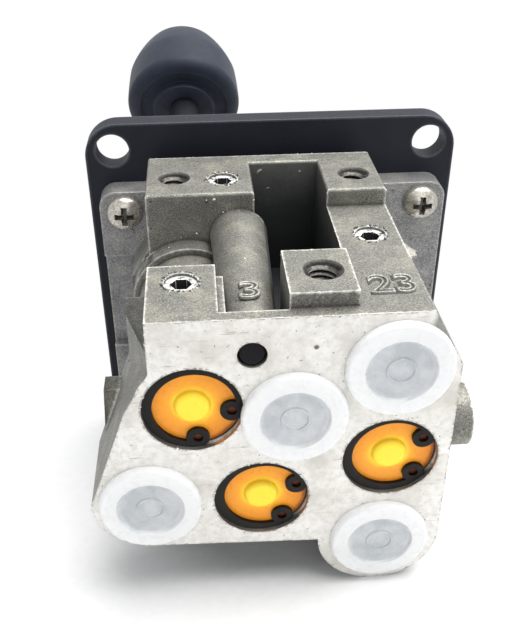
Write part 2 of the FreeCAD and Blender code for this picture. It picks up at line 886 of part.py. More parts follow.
def cut_rear_side(body):
    """The chamber that the rocker swings in and the holes for the bolts of the lever housing."""
    chamber = (sizes.rear_block_depth - MERGE, sizes.body_length)
    ear_room = sizes.ear_radius + sizes.chamber_margin
    block(
        body, "RockerChamber", (chamber_left, chamber_right), chamber,
        (pivot_z - sizes.ear_radius * 2 - sizes.chamber_margin * 2, pivot_z + ear_room), cut=True,
    )
    cam_right = sizes.bore_1_x + sizes.cam_1_width / 2 + sizes.chamber_margin
    block(
        body, "CamChamber", (sizes.rocker_left, cam_right), chamber,
        (pivot_z, sizes.bore_1_z + sizes.cam_reach - sizes.chamber_margin), cut=True,
    )
    places = [(x, z - sizes.terrace_height) for x, z in bolt_places()]
    depth = sizes.bolt_length - sizes.flange_thickness + sizes.bolt_seat
    drill(body, "BoltThreads", "XZ_Plane", depth - sizes.body_length, places, sizes.bolt, depth)


def seal_screw_places():
    """Each sealing screw's place, the height it opens at and the floor of its drilling."""
    blind_floor = sizes.block_rise - sizes.blind_drilling_depth
    return [
        (sizes.seal_screw_1_x, sizes.seal_screw_1_y, 0, sizes.bore_1_z),
        (sizes.seal_screw_2_x, sizes.seal_screw_2_y, 0, sizes.bore_3_z),
        (sizes.seal_screw_3_x, sizes.seal_screw_3_y, sizes.block_rise, blind_floor),
    ]


def make_seal_screws():
    screws = []
    for number, (x, y, top, floor) in enumerate(seal_screw_places(), start=1):
        body = new_body(f"seal_screw_{number}", counted=False)
        length = sizes.seal_screw_length
        bar(body, f"SealScrew{number}", (0, 0, -length), "z", length, sizes.seal_screw)
        socket(body, f"SealSocket{number}", (0, 0, -length / 2), "z", length / 2, sizes.seal_screw_socket)
        place_in_valve(body, x, y, top - sizes.seal_screw_sink)
        screws.append(body)
    group("sealing_screws", screws)


def dome_radius(radius, rise):
    """The radius of a dome that rises this much over a round base."""
    return (radius * radius + rise * rise) / (rise * 2)


def make_vent_plug():
    body = new_body("vent_plug")
    radius = sizes.vent / 2
    front = sizes.vent_sink
    rear = sizes.vent_depth - sizes.vent_gap
    edge = sizes.vent_round
    turned(body, "VentPlug", [
        (front, 0),
        (front, radius - edge),
        (front + edge, radius, edge, 1),
        (rear, radius),
        (rear, 0),
    ])
    place_in_valve(body, sizes.vent_x, 0, sizes.vent_z)


def make_pan_screws():
    screws = []
    radius = sizes.pan_screw_head / 2
    shank = sizes.pan_screw / 2
    height = sizes.pan_screw_head_height
    crown = sizes.pan_screw_crown / 2
    crown_height = sizes.pan_screw_crown_height
    arm = sizes.pan_screw_cross / 2
    slot = sizes.pan_screw_slot / 2
    cross_depth = (-height - MERGE, sizes.pan_screw_cross_depth - height)
    places = corner_places(sizes.pan_screw_x, sizes.pan_screw_z)
    for number, (x, z) in enumerate(places, start=1):
        body = new_body(f"housing_screw_{number}", counted=False)
        turned(body, f"PanHead{number}", [
            (-height, 0),
            (crown_height - height, crown, dome_radius(crown, crown_height), 1),
            (-sizes.pan_screw_edge, radius, sizes.pan_screw_round, 1),
            (0, radius),
            (0, shank),
            (sizes.pan_screw_length, shank),
            (sizes.pan_screw_length, 0),
        ])
        block(body, f"CrossAcross{number}", (-arm, arm), cross_depth, (-slot, slot), cut=True)
        block(body, f"CrossUpright{number}", (-slot, slot), cross_depth, (-arm, arm), cut=True)
        place(body, x, -sizes.flange_thickness, z)
        screws.append(body)
    group("housing_screws", screws)


def make_body_bolts():
    bolts = []
    length = sizes.bolt_length
    head = sizes.bolt_head_height
    for number, (x, z) in enumerate(bolt_places(), start=1):
        body = new_body(f"body_bolt_{number}", counted=False)
        bar(body, f"BoltShank{number}", (0, -length, 0), "y", length, sizes.bolt)
        bar(body, f"BoltHead{number}", (0, 0, 0), "y", head, sizes.bolt_head)
        socket(body, f"BoltSocket{number}", (0, head / 2, 0), "y", head / 2, sizes.bolt_socket)
        place(body, x, -sizes.bolt_seat, z)
        bolts.append(body)
    group("body_bolts", bolts)


def make_bore_plug(number):
    body = new_body(f"bore_plug_{number}")
    radius = sizes.bore / 2 - sizes.plug_clearance
    boss = sizes.plug_boss / 2
    tip = plug_face - sizes.plug_boss_rise
    seal_floor = radius - sizes.plug_seal
    seal_end = sizes.plug_seal_start + sizes.plug_seal
    turned(body, f"BorePlug{number}", [
        (tip, 0),
        (tip, boss - sizes.plug_boss_round),
        (tip + sizes.plug_boss_round, boss, sizes.plug_boss_round, 1),
        (plug_face, boss),
        (plug_face, radius),
        (sizes.plug_seal_start, radius),
        (sizes.plug_seal_start, seal_floor),
        (seal_end, seal_floor),
        (seal_end, radius),
        (sizes.bore_seat, radius),
        (sizes.bore_seat, sizes.plug_cup / 2),
        (cup_floor, sizes.plug_cup / 2),
        (cup_floor, 0),
    ])
    x, z = bore_place(number)
    place_in_valve(body, x, 0, z)


def make_ring_seal(label, middle, floor_radius, thickness, x, z, counted=True):
    """A rubber ring with eight flat sides, seated on the floor of its groove."""
    ring = new_body(label, counted)
    half = thickness / 2
    corner = half * math.tan(math.pi / 8)
    centre = floor_radius + half
    across = ((-half, -corner), (-half, corner), (-corner, half), (corner, half))
    points = [(side, centre + out) for side, out in across]
    points += [(-side, centre - out) for side, out in across]
    turned(ring, label + "_section", points)
    place_in_valve(ring, x, middle, z)
    return ring


def make_plug_seal(number):
    x, z = bore_place(number)
    floor = sizes.bore / 2 - sizes.plug_clearance - sizes.plug_seal
    middle = sizes.plug_seal_start + sizes.plug_seal / 2
    make_ring_seal(f"plug_seal_{number}", middle, floor, sizes.plug_seal, x, z)


def make_circlip(number):
    """An internal retaining ring: wide opposite its gap, with two pierced lugs beside the gap."""
    body = new_body(f"circlip_{number}")
    outside = sizes.ring_groove / 2
    thickness = sizes.ring_thickness
    bar(body, f"Ring{number}", (0, 0, 0), "y", thickness, outside * 2)
    opening = (sizes.ring_offset, 0, 0)
    bar(body, f"RingOpening{number}", opening, "y", thickness, sizes.ring_opening, cut=True)
    angle = float(sizes.ring_lug_angle) * RADIANS
    gap = new_sketch(body, f"RingGap{number}", "XZ_Plane")
    reach = outside * 2
    add_outline(gap, [
        (0, 0),
        (reach * math.cos(angle), -reach * math.sin(angle)),
        (reach * math.cos(angle), reach * math.sin(angle)),
    ])
    pocket(body, gap, thickness)
    lug_x = sizes.ring_lug_radius * math.cos(angle)
    lug_z = sizes.ring_lug_radius * math.sin(angle)
    lugs = (("Lower", (lug_x, 0, -lug_z)), ("Upper", (lug_x, 0, lug_z)))
    for side, lug in lugs:
        bar(body, f"{side}Lug{number}", lug, "y", thickness, sizes.ring_lug)
    for side, lug in lugs:
        bar(body, f"{side}LugHole{number}", lug, "y", thickness, sizes.ring_lug_hole, cut=True)
    x, z = bore_place(number)
    depth = sizes.ring_depth + (sizes.ring_groove_width - thickness) / 2
    place_in_valve(body, x, depth, z, Vector(0, 1, 0), -sizes.numbered("ring_turn_{}", number))


def make_port_cap(number):
    """A soft dust plug: a flanged cup pushed into the mouth of a port."""
    body = new_body(f"port_cap_{number}")
    flange = sizes.cap_flange / 2
    thickness = sizes.cap_flange_thickness
    inside = sizes.cap_rim_inside / 2
    skin_front = -thickness + sizes.cap_recess
    stem = sizes.port_hole / 2 - sizes.cap_stem_clearance
    stem_inside = stem - sizes.cap_stem_wall
    mark = sizes.cap_mark / 2
    edge = sizes.cap_edge
    mark_width = sizes.cap_mark_width
    mark_front = skin_front - sizes.cap_mark_rise
    turned(body, f"PortCap{number}", [
        (skin_front, 0),
        (skin_front, mark - mark_width),
        (mark_front, mark - mark_width),
        (mark_front, mark),
        (skin_front, mark),
        (skin_front, inside - edge / 2),
        (-thickness, inside),
        (-thickness, flange - edge),
        (-thickness + edge / 3, flange - edge / 3),
        (-thickness + edge, flange),
        (0, flange),
        (0, stem),
        (sizes.cap_stem_length, stem - sizes.cap_stem_taper),
        (sizes.cap_stem_length, stem_inside - sizes.cap_stem_taper),
        (skin_front + sizes.cap_skin, stem_inside),
        (skin_front + sizes.cap_skin, 0),
    ])
    x = sizes.numbered("port_{}_x", number)
    z = sizes.numbered("port_{}_z", number)
    place_in_valve(body, x, 0, z)


def make_spool(number, travel):
    """A stepped spool with two sealed lands, a spring pocket in front and a tail that the cam pushes."""
    body = new_body(f"spool_{number}")
    land = sizes.spool_bore / 2 - sizes.spool_clearance
    neck = sizes.spool_neck / 2
    start = sizes.spool_start
    neck_start = start + sizes.spool_land
    neck_end = neck_start + sizes.spool_neck_length
    land_end = neck_end + sizes.spool_rear_land
    points = [(start, sizes.spool_pocket / 2), (start, land)]
    for middle in seal_places():
        points += [
            (middle - sizes.spool_seal / 2, land),
            (middle - sizes.spool_seal / 2, land - sizes.spool_seal),
            (middle + sizes.spool_seal / 2, land - sizes.spool_seal),
            (middle + sizes.spool_seal / 2, land),
        ]
        if len(points) == 6:
            points += [(neck_start, land), (neck_start, neck), (neck_end, neck), (neck_end, land)]
    points += [
        (land_end, land),
        (land_end, sizes.spool_tail / 2),
        (spool_rear, sizes.spool_tail / 2),
        (spool_rear, 0),
        (pocket_floor, 0),
        (pocket_floor, sizes.spool_pocket / 2),
    ]
    turned(body, f"Spool{number}", points)
    x, z = bore_place(number)
    place_in_valve(body, x, travel, z)


def seal_places():
    front = sizes.spool_start + sizes.spool_land - sizes.spool_seal_inset
    rear = sizes.spool_start + sizes.spool_land + sizes.spool_neck_length + sizes.spool_rear_land / 2
    return [front, rear]


def make_spool_seals(number, travel):
    x, z = bore_place(number)
    rings = []
    for ring, middle in enumerate(seal_places(), start=1):
        label = f"spool_{number}_ring_{ring}"
        depth = middle + travel
        rings.append(make_ring_seal(label, depth, spool_seal_floor, sizes.spool_seal, x, z, False))
    group(f"spool_seals_{number}", rings)


def make_spring(label, number, start, end):
    """A coil spring between two seats, with its six-sided wire swept along a helix."""
    wire = float(sizes.spring_wire) / 2
    seat = float(sizes.spring_seat)
    radius = float(sizes.spring_diameter) / 2 - wire
    length = float(end) - float(start) - (wire + seat) * 2
    pitch = length / float(sizes.spring_turns)
    helix = Part.makeHelix(pitch, length, radius)
    corners = [
        Vector(radius + wire * math.cos(turn * math.pi / 3), 0, wire * math.sin(turn * math.pi / 3))
        for turn in range(7)
    ]
    coil = Part.Wire(helix.Edges).makePipeShell([Part.makePolygon(corners)], True, True)
    spring = document.addObject("Part::Feature", label)
    spring.Label = label
    spring.Shape = Part.Solid(coil) if coil.ShapeType == "Shell" else coil
    x, z = bore_place(number)
    place_in_valve(spring, x, start + wire + seat, z, Vector(1, 0, 0), -90)
    SUBPARTS.append(spring)


def make_relief_piston():
    """A spring-loaded piston in the third bore, pushed back from its plug by air pressure."""
    body = new_body("relief_piston")
    land = sizes.spool_bore / 2 - sizes.spool_clearance
    nose_start = piston_start - sizes.piston_nose_length
    end = piston_start + sizes.piston_length
    groove_start = piston_seal_place - sizes.spool_seal / 2
    groove_end = piston_seal_place + sizes.spool_seal / 2
    turned(body, "ReliefPiston", [
        (nose_start, 0),
        (nose_start, sizes.piston_nose / 2),
        (piston_start, sizes.piston_nose / 2),
        (piston_start, land),
        (groove_start, land),
        (groove_start, spool_seal_floor),
        (groove_end, spool_seal_floor),
        (groove_end, land),
        (end, land),
        (end, sizes.spool_pocket / 2),
        (piston_spring_start, sizes.spool_pocket / 2),
        (piston_spring_start, 0),
    ])
    place_in_valve(body, sizes.bore_3_x, 0, sizes.bore_3_z)


def involute(radius, reach, angle):
    """A point of the cam face whose rise is the base radius times the angle turned."""
    string = reach - radius * (angle - math.pi / 2)
    y = radius * math.cos(angle) - string * math.sin(angle)
    z = radius * math.sin(angle) + string * math.cos(angle)
    return Vector(0, y, z)


def make_cam(label, bore, width, radius):
    """One arm of the rocker, with an involute face towards the spool in this bore."""
    spread = float(sizes.lever_tilt + sizes.cam_margin) * RADIANS
    reach = float(sizes.cam_reach)
    base = abs(float(radius))
    angles = [math.pi / 2 + spread * (1 - 2 * step / CAM_STEPS) for step in range(CAM_STEPS + 1)]
    face = [involute(base, reach, angle) for angle in angles]
    curve = Part.BSplineCurve()
    curve.interpolate(face)
    tip = face[-1]
    outline = [
        tip,
        Vector(0, tip.y + float(sizes.cam_thickness), tip.z + float(sizes.cam_tip)),
        Vector(0, float(sizes.cam_waist_depth), base * float(sizes.cam_waist_share)),
        Vector(0, float(sizes.cam_root_depth), float(sizes.cam_root_height)),
        Vector(),
        face[0],
    ]
    edges = [curve.toShape()]
    edges += [Part.makeLine(start, end) for start, end in zip(outline, outline[1:])]
    arm = Part.Face(Part.Wire(edges)).extrude(Vector(float(width), 0, 0))
    if float(radius) < 0:
        arm = arm.mirror(Vector(), Vector(0, 0, 1))
    feature = document.addObject("Part::Feature", label)
    feature.Shape = arm
    bind(feature, "Placement.Base.x", bore_place(bore)[0] - width / 2)
    return feature


def part_cylinder(label, start, along, length, diameter):
    cylinder = document.addObject("Part::Cylinder", label)
    bind(cylinder, "Radius", as_size(diameter) / 2)
    bind(cylinder, "Height", length)
    cylinder.Placement = Placement(Vector(), TURNS[along])
    for letter, value in zip("xyz", start):
        bind(cylinder, f"Placement.Base.{letter}", value)
    return cylinder


def make_rocker():
    """The lever's hub, with one involute arm above the pivot and one below it."""
    left = sizes.rocker_left
    width = sizes.rocker_right - left
    solids = [
        part_cylinder("rocker_hub", (left, 0, 0), "x", width, sizes.rocker_radius * 2),
        part_cylinder(
            "rocker_boss", (sizes.lever_x, 0, 0), "y", sizes.rocker_boss_length, sizes.rocker_boss,
        ),
        make_cam("upper_arm", 1, sizes.cam_1_width, arm_1),
        make_cam("lower_arm", 2, sizes.cam_2_width, arm_2),
    ]
    fused = document.addObject("Part::MultiFuse", "rocker_solid")
    fused.Shapes = solids
    bore = sizes.pivot_pin + sizes.pivot_clearance * 2
    neck_length = sizes.rocker_boss_length - sizes.lever_neck_start
    neck_place = (sizes.lever_x, sizes.lever_neck_start, 0)
    pin_length = sizes.rocker_boss + MERGE
    holes = document.addObject("Part::MultiFuse", "rocker_holes")
    holes.Shapes = [
        part_cylinder("rocker_bore", (left, 0, 0), "x", width, bore),
        part_cylinder("neck_hole", neck_place, "y", neck_length, sizes.lever_neck),
        part_cylinder(
            "roll_pin_hole", (sizes.lever_x - pin_length / 2, sizes.roll_pin_place, 0), "x",
            pin_length, sizes.roll_pin,
        ),
    ]
    rocker = document.addObject("Part::Cut", "rocker_cam")
    rocker.Label = "rocker_cam"
    rocker.Base = fused
    rocker.Tool = holes
    SUBPARTS.append(rocker)
    place_on_lever(rocker, 0)


def make_lever_shaft():
    body = new_body("lever_shaft")
    neck = sizes.lever_neck / 2
    radius = sizes.lever_diameter / 2
    knob_end = sizes.knob_start + sizes.knob_neck_length
    turned(body, "Shaft", [
        (sizes.lever_neck_start, 0),
        (sizes.lever_neck_start, neck),
        (sizes.rocker_boss_length, neck),
        (sizes.rocker_boss_length, radius),
        (sizes.knob_start, radius),
        (sizes.knob_start, neck),
        (knob_end, neck),
        (knob_end, 0),
    ])
    bar(
        body, "ShaftPinHole", (-sizes.lever_diameter / 2, sizes.roll_pin_place, 0), "x",
        sizes.lever_diameter, sizes.roll_pin, cut=True,
    )
    place_on_lever(body, sizes.lever_x)


def make_roll_pin():
    body = new_body("roll_pin")
    length = sizes.rocker_boss
    end = (-length / 2, sizes.roll_pin_place, 0)
    bar(body, "RollPin", end, "x", length, sizes.roll_pin)
    bar(body, "RollPinHole", end, "x", length, sizes.roll_pin / 2, cut=True)
    place_on_lever(body, sizes.lever_x)


def make_knob():
    """A mushroom knob: a hollowed underside, a hub for the shaft, a sloping side and a domed top."""
    body = new_body("lever_knob")
    start = sizes.knob_start
    rim = sizes.knob_rim / 2
    edge = sizes.knob_edge
    crown = sizes.knob_crown / 2
    crown_rise = sizes.knob_length - sizes.knob_crown_height
    shoulder = (start + sizes.knob_shoulder_height, sizes.knob_shoulder / 2)
    floor = start + sizes.knob_hollow
    inside = rim - edge - sizes.knob_lip
    turned(body, "Knob", [
        (start + sizes.knob_length, 0),
        (start + sizes.knob_length, DOME_FLAT),
        (start + sizes.knob_crown_height, crown, dome_radius(crown, crown_rise), -1),
        (*shoulder, sizes.knob_shoulder_radius, -1),
        (start + edge, rim, sizes.knob_side_radius, -1),
        (start, rim - edge, edge, -1),
        (start, inside),
        (floor, inside),
        (floor, sizes.knob_hub / 2),
        (start, sizes.knob_hub / 2),
        (start, sizes.lever_neck / 2),
        (start + sizes.knob_neck_length, sizes.lever_neck / 2),
        (start + sizes.knob_neck_length, 0),
    ])
    place_on_lever(body, sizes.lever_x)


def make_pivot_pieces():
    pin = new_body("pivot_pin")
    grooves = (left_ear_outside - sizes.clip_thickness, right_ear_outside)
    stretches = (
        (pin_left, grooves[0]),
        (grooves[0] + sizes.clip_thickness, grooves[1]),
        (grooves[1] + sizes.clip_thickness, pin_right),
    )
    bar(pin, "PivotCore", (pin_left, 0, 0), "x", pin_right - pin_left, sizes.clip_groove)
    for number, (x_start, x_end) in enumerate(stretches):
        bar(pin, f"PivotStretch{number}", (x_start, 0, 0), "x", x_end - x_start, sizes.pivot_pin)
    place(pin, 0, port_face_y + sizes.pivot_depth, 0)
    clips = []
    for number, x in enumerate(grooves, start=1):
        clip = new_body(f"pivot_clip_{number}", counted=False)
        bar(clip, f"Clip{number}", (x, 0, 0), "x", sizes.clip_thickness, sizes.clip_diameter)
        bar(
            clip, f"ClipHole{number}", (x, 0, 0), "x", sizes.clip_thickness, sizes.clip_groove, cut=True,
        )
        place(clip, 0, port_face_y + sizes.pivot_depth, 0)
        clips.append(clip)
    group("pivot_clips", clips)
    bushes = []
    inner = sizes.pivot_pin + sizes.pivot_clearance * 2
    for number, x in enumerate((left_ear_outside, right_ear_inside), start=1):
        bush = new_body(f"pivot_bush_{number}", counted=False)
        outer = inner + sizes.bush_wall * 2
        bar(bush, f"Bush{number}", (x, 0, 0), "x", sizes.ear_thickness, outer)
        bar(bush, f"BushHole{number}", (x, 0, 0), "x", sizes.ear_thickness, inner, cut=True)
        place(bush, 0, port_face_y + sizes.pivot_depth, 0)
        bushes.append(bush)
    group("pivot_bushes", bushes)
    washer = new_body("friction_washer")
    turned_x = sizes.rocker_right + sizes.pivot_clearance
    thickness = sizes.washer_gap - sizes.pivot_clearance
    bar(washer, "Washer", (turned_x, 0, 0), "x", thickness, sizes.washer)
    bar(washer, "WasherHole", (turned_x, 0, 0), "x", thickness, inner, cut=True)
    place(washer, 0, port_face_y + sizes.pivot_depth, 0)


def check_and_write():
    document.recompute()
    failed = [
        f"{item.Label} ({item.getStatusString()})"
        for item in document.Objects if "Invalid" in item.State or "Error" in item.State
    ]
    if failed:
        raise RuntimeError("not built: " + ", ".join(failed))
    bad = [item.Label for item in SUBPARTS if item.Shape.isNull() or not item.Shape.isValid()]
    if bad:
        raise RuntimeError("no valid shape: " + ", ".join(bad))
    os.makedirs("parts", exist_ok=True)
    for item in SUBPARTS:
        item.Shape.exportStep(os.path.join("parts", f"{item.Label}.step"))


make_faceplate()
make_lever_housing()
make_valve_body()
make_seal_screws()
make_vent_plug()
make_pan_screws()
make_body_bolts()
travel_1 = -arm_1 * tilt
travel_2 = -arm_2 * tilt
for number in (1, 2, 3):
    make_bore_plug(number)
    make_plug_seal(number)
    make_circlip(number)
for number in (1, 2, 3, 4):
    make_port_cap(number)
for number, travel in ((1, travel_1), (2, travel_2)):
    make_spool(number, travel)
    make_spool_seals(number, travel)
    make_spring(f"spool_spring_{number}", number, cup_floor, pocket_floor + travel)
make_relief_piston()
make_ring_seal("piston_seal", piston_seal_place, spool_seal_floor, sizes.spool_seal, *bore_place(3))
make_spring("relief_spring", 3, piston_spring_start, sizes.piston_bore_depth)
make_rocker()
make_lever_shaft()
make_roll_pin()
make_knob()
make_pivot_pieces()
check_and_write()
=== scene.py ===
import json
import math
import random

import bmesh
import bpy
from mathutils import Matrix, Vector
from mathutils.bvhtree import BVHTree


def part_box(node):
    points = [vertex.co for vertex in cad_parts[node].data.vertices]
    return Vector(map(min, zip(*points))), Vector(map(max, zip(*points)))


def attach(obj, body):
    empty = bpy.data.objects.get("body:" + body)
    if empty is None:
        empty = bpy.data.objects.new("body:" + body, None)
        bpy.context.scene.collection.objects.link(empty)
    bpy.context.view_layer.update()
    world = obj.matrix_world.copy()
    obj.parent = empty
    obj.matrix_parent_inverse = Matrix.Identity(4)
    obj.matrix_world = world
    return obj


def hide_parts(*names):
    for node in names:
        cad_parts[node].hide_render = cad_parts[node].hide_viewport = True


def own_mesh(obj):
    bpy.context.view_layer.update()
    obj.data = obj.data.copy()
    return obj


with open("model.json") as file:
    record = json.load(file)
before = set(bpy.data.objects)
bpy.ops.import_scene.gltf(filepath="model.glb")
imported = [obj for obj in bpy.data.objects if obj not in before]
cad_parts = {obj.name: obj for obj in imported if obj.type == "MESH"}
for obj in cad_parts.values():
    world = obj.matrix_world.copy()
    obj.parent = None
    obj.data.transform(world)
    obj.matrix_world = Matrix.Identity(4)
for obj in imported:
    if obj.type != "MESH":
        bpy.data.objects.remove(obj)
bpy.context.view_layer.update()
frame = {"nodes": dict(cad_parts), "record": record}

# Tipper control valve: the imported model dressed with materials, cast and machined detail, and a studio.
# Metres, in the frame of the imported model: X right, Y out of the panel towards the knob, Z up.

MM = 0.001
SCENE = bpy.context.scene
NODES = frame["nodes"]
RECORD = frame["record"]
SLOT_OF = {part["node"]: part["material_slot"] for part in RECORD["subparts"]}
MOUNTS = {mount["name"]: mount for mount in RECORD["mounts"]}
BODY_OF = {node: body for body, members in RECORD["behaviour"]["bodies"].items() for node in members}

# The camera that took the photograph, fitted to the faceplate, the blocks and the ports
CAMERA_PLACE = Vector((-19.8, -213.0, 125.3)) * MM
CAMERA_HEADING = math.radians(4.13)
CAMERA_DIP = math.radians(32.65)
CAMERA_ROLL = math.radians(-0.30)
CAMERA_LENS = 47.45

# The object leans forward on the table: it stands on the faceplate's lower edge and on its lowest port boss
PLATE_FOOT = Vector((0, 0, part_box("faceplate")[0].z))
BODY_FOOT = Vector((0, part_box("valve_body")[0].y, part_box("valve_body")[0].z + 0.2 * MM))


# The axes that count in a distance seen from the front or from above, as indices and as weights
FROM_FRONT = (0, 2)
FROM_ABOVE = (0, 1)
AROUND_Y = (1.0, 0.0, 1.0)
ALONG_Z = (0.0, 0.0, 1.0)
EVERY_WAY = (1.0, 1.0, 1.0)


def centre_of(node):
    """The middle of a node's box."""
    low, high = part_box(node)
    return (low + high) / 2


PORT_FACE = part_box("valve_body")[0].y
BORES = [centre_of(f"bore_plug_{number}") for number in (1, 2, 3)]
PORTS = [centre_of(f"port_cap_{number}") for number in (1, 2, 3, 4)]
# The height of the upper side, over the axis of the first bore
TERRACE = centre_of("bore_plug_1").z + 21.7 * MM


def in_valve(x, depth, z):
    """A place given in millimetres from the top edge of the port face, as the valve's own drawing does."""
    return Vector((x * MM, PORT_FACE + depth * MM, TERRACE + z * MM))


def across(point, centre, axes):
    """The distance between two points as seen along the third axis."""
    return math.hypot(*(point[axis] - centre[axis] for axis in axes))


def shaded(colour, factor):
    """A colour made lighter or darker."""
    return tuple(part * factor for part in colour)


class Surface:
    """A material whose colour, roughness and relief come from textures on the object's own coordinates."""

    def __init__(self, name, **sockets):
        self.material = bpy.data.materials.new(name)
        self.material.use_nodes = True
        self.tree = self.material.node_tree
        self.shader = self.tree.nodes["Principled BSDF"]
        for socket, value in sockets.items():
            self.shader.inputs[socket.replace("_", " ")].default_value = value
        self.place = self.tree.nodes.new("ShaderNodeTexCoord").outputs["Object"]
        self.height = None

    def add(self, kind, **links):
        """Adds a node and feeds its named inputs with values or with other nodes' outputs."""
        node = self.tree.nodes.new(kind)
        for socket, value in links.items():
            target = node.inputs[socket.replace("_", " ")]
            if isinstance(value, bpy.types.NodeSocket):
                self.tree.links.new(value, target)
            else:
                target.default_value = value
        return node

    def noise(self, size, detail=3.0, roughness=0.6, stretch=None):
        """Noise whose blotches are about this many metres across."""
        place = self.place
        if stretch:
            place = self.add("ShaderNodeMapping", Vector=place, Scale=stretch).outputs["Vector"]
        sockets = {"Vector": place, "Scale": 1 / size, "Detail": detail, "Roughness": roughness}
        return self.add("ShaderNodeTexNoise", **sockets).outputs["Fac"]

    def distance(self, centre, weights):
        """The distance from a place, counted only along the axes whose weight is 1."""
        offset = self.add("ShaderNodeVectorMath")
        offset.operation = "SUBTRACT"
        self.tree.links.new(self.place, offset.inputs[0])
        offset.inputs[1].default_value = centre
        kept = self.add("ShaderNodeVectorMath")
        kept.operation = "MULTIPLY"
        self.tree.links.new(offset.outputs["Vector"], kept.inputs[0])
        kept.inputs[1].default_value = weights
        length = self.add("ShaderNodeVectorMath")
        length.operation = "LENGTH"
        self.tree.links.new(kept.outputs["Vector"], length.inputs[0])
        return length.outputs["Value"]

    def plus(self, first, second):
        """The sum of two values."""
        node = self.tree.nodes.new("ShaderNodeMath")
        self.tree.links.new(first, node.inputs[0])
        self.tree.links.new(second, node.inputs[1])
        return node.outputs["Value"]

    def share(self, value, start, end):
        """How far a value has come from start to end: 0 up to start and 1 from end on."""
        return self.add("ShaderNodeMapRange", Value=value, From_Min=start, From_Max=end).outputs["Result"]

    def scaled(self, value, factor):
        """A value from 0 to 1, moved to lie about zero and multiplied."""
        node = self.add("ShaderNodeMath")
        node.operation = "MULTIPLY_ADD"
        self.tree.links.new(value, node.inputs[0])
        node.inputs[1].default_value = factor
        node.inputs[2].default_value = -factor / 2
        return node.outputs["Value"]

    def ramp(self, value, stops):
        """Turns a value into a colour. The stops are (value, colour or grey)."""
        node = self.add("ShaderNodeValToRGB", Fac=value)
        elements = node.color_ramp.elements
        while len(elements) < len(stops):
            elements.new(0.5)
        for element, (position, colour) in zip(elements, stops):
            element.position = position
            grey = isinstance(colour, (int, float))
            element.color = (colour, colour, colour, 1) if grey else (*colour, 1)
        return node.outputs["Color"]

    def mixed(self, factor, first, second):
        """The first colour where the factor is 0, and the second where it is 1."""
        node = self.tree.nodes.new("ShaderNodeMix")
        node.data_type = "RGBA"
        for socket, value in (("Factor", factor), ("A", first), ("B", second)):
            kind = "RGBA" if socket != "Factor" else "VALUE"
            target = next(item for item in node.inputs if item.name == socket and item.type == kind)
            if isinstance(value, bpy.types.NodeSocket):
                self.tree.links.new(value, target)
            else:
                target.default_value = (*value, 1) if kind == "RGBA" else value
        return next(item for item in node.outputs if item.type == "RGBA")

    def near_edges(self, reach, inside, jitter=0.0):
        """1 away from edges and less near them: outer edges if inside is true, inner corners if not."""
        node = self.add("ShaderNodeAmbientOcclusion", Distance=reach)
        node.inside = inside
        node.only_local = True
        node.samples = 8
        value = node.outputs["AO"]
        if jitter:
            value = self.plus(value, self.scaled(self.noise(1.3 * MM, 4, 0.8), jitter))
        return value

    def colour(self, value):
        """Sets where the colour comes from."""
        self.tree.links.new(value, self.shader.inputs["Base Color"])

    def rough(self, value):
        """Sets where the roughness comes from."""
        self.tree.links.new(value, self.shader.inputs["Roughness"])

    def bump(self, value, depth):
        """Adds relief of about this many metres to what is there already."""
        node = self.add("ShaderNodeBump", Height=value, Distance=depth, Strength=1.0)
        if self.height:
            self.tree.links.new(self.height, node.inputs["Normal"])
        self.height = node.outputs["Normal"]
        self.tree.links.new(self.height, self.shader.inputs["Normal"])


def cast_metal(name, dark, light, edge_wear_and_highlight=0.0, relief=1.0):
    """Rough die-cast aluminium: grain with bright and dark specks, soft blotches, pits and warm stains,
    painted shade in inner corners, and edges lightened by wear and painted highlight.
    """
    look = Surface(name, Metallic=0.5)
    grain = look.noise(0.36 * MM, 4, 0.75)
    blotch = look.noise(6 * MM, 5, 0.62)
    base = look.ramp(grain, [(0.33, shaded(dark, 0.75)), (0.50, light), (0.64, shaded(light, 2.1))])
    warm = (light[0] * 1.02, light[1] * 0.98, light[2] * 0.86)
    stain = look.ramp(blotch, [(0.36, shaded(dark, 0.55)), (0.50, dark), (0.66, warm)])
    mixed = look.mixed(0.5, base, stain)
    pits = look.ramp(look.noise(1.3 * MM, 2, 0.5), [(0.26, 0.0), (0.31, 1.0)])
    pitted = look.mixed(pits, shaded(dark, 0.35), mixed)
    # Painted shade: darker in inner corners, where less light reaches.
    corner_shade = look.ramp(look.near_edges(1.4 * MM, False), [(0.45, 0.6), (0.85, 0.0)])
    corner_shaded = look.mixed(corner_shade, pitted, shaded(dark, 0.45))
    # Lighter along outer edges: wear, and a painted highlight where light catches them.
    wear_and_highlight = look.ramp(look.near_edges(0.9 * MM, True, 1.1), [(0.50, edge_wear_and_highlight), (0.78, 0.0)])
    look.colour(look.mixed(wear_and_highlight, corner_shaded, (0.74, 0.73, 0.69)))
    look.rough(look.ramp(grain, [(0.3, 0.60), (0.7, 0.40)]))
    look.bump(blotch, 0.22 * MM * relief)
    look.bump(grain, 0.06 * MM * relief)
    return look.material


def pocket_metal():
    """The cavity's walls: cast skin with painted light near the top and painted shade below."""
    look = Surface("shaded_cast", Metallic=0.3)
    # Painted light and shade: lighter near the top of the cavity, darker the deeper it goes.
    depth = look.share(look.distance(in_valve(0, 0, 4), ALONG_Z), 0.0, 30 * MM)
    blotch = look.noise(5 * MM, 5, 0.65)
    look.colour(look.ramp(look.plus(depth, look.scaled(blotch, 0.3)), [
        (0.0, (0.14, 0.14, 0.13)),
        (0.18, (0.085, 0.087, 0.085)),
        (0.42, (0.040, 0.042, 0.044)),
        (0.9, (0.024, 0.026, 0.028)),
    ]))
    grain = look.noise(0.36 * MM, 4, 0.75)
    look.rough(look.ramp(grain, [(0.3, 0.62), (0.7, 0.42)]))
    look.bump(blotch, 0.22 * MM)
    look.bump(grain, 0.06 * MM)
    return look.material


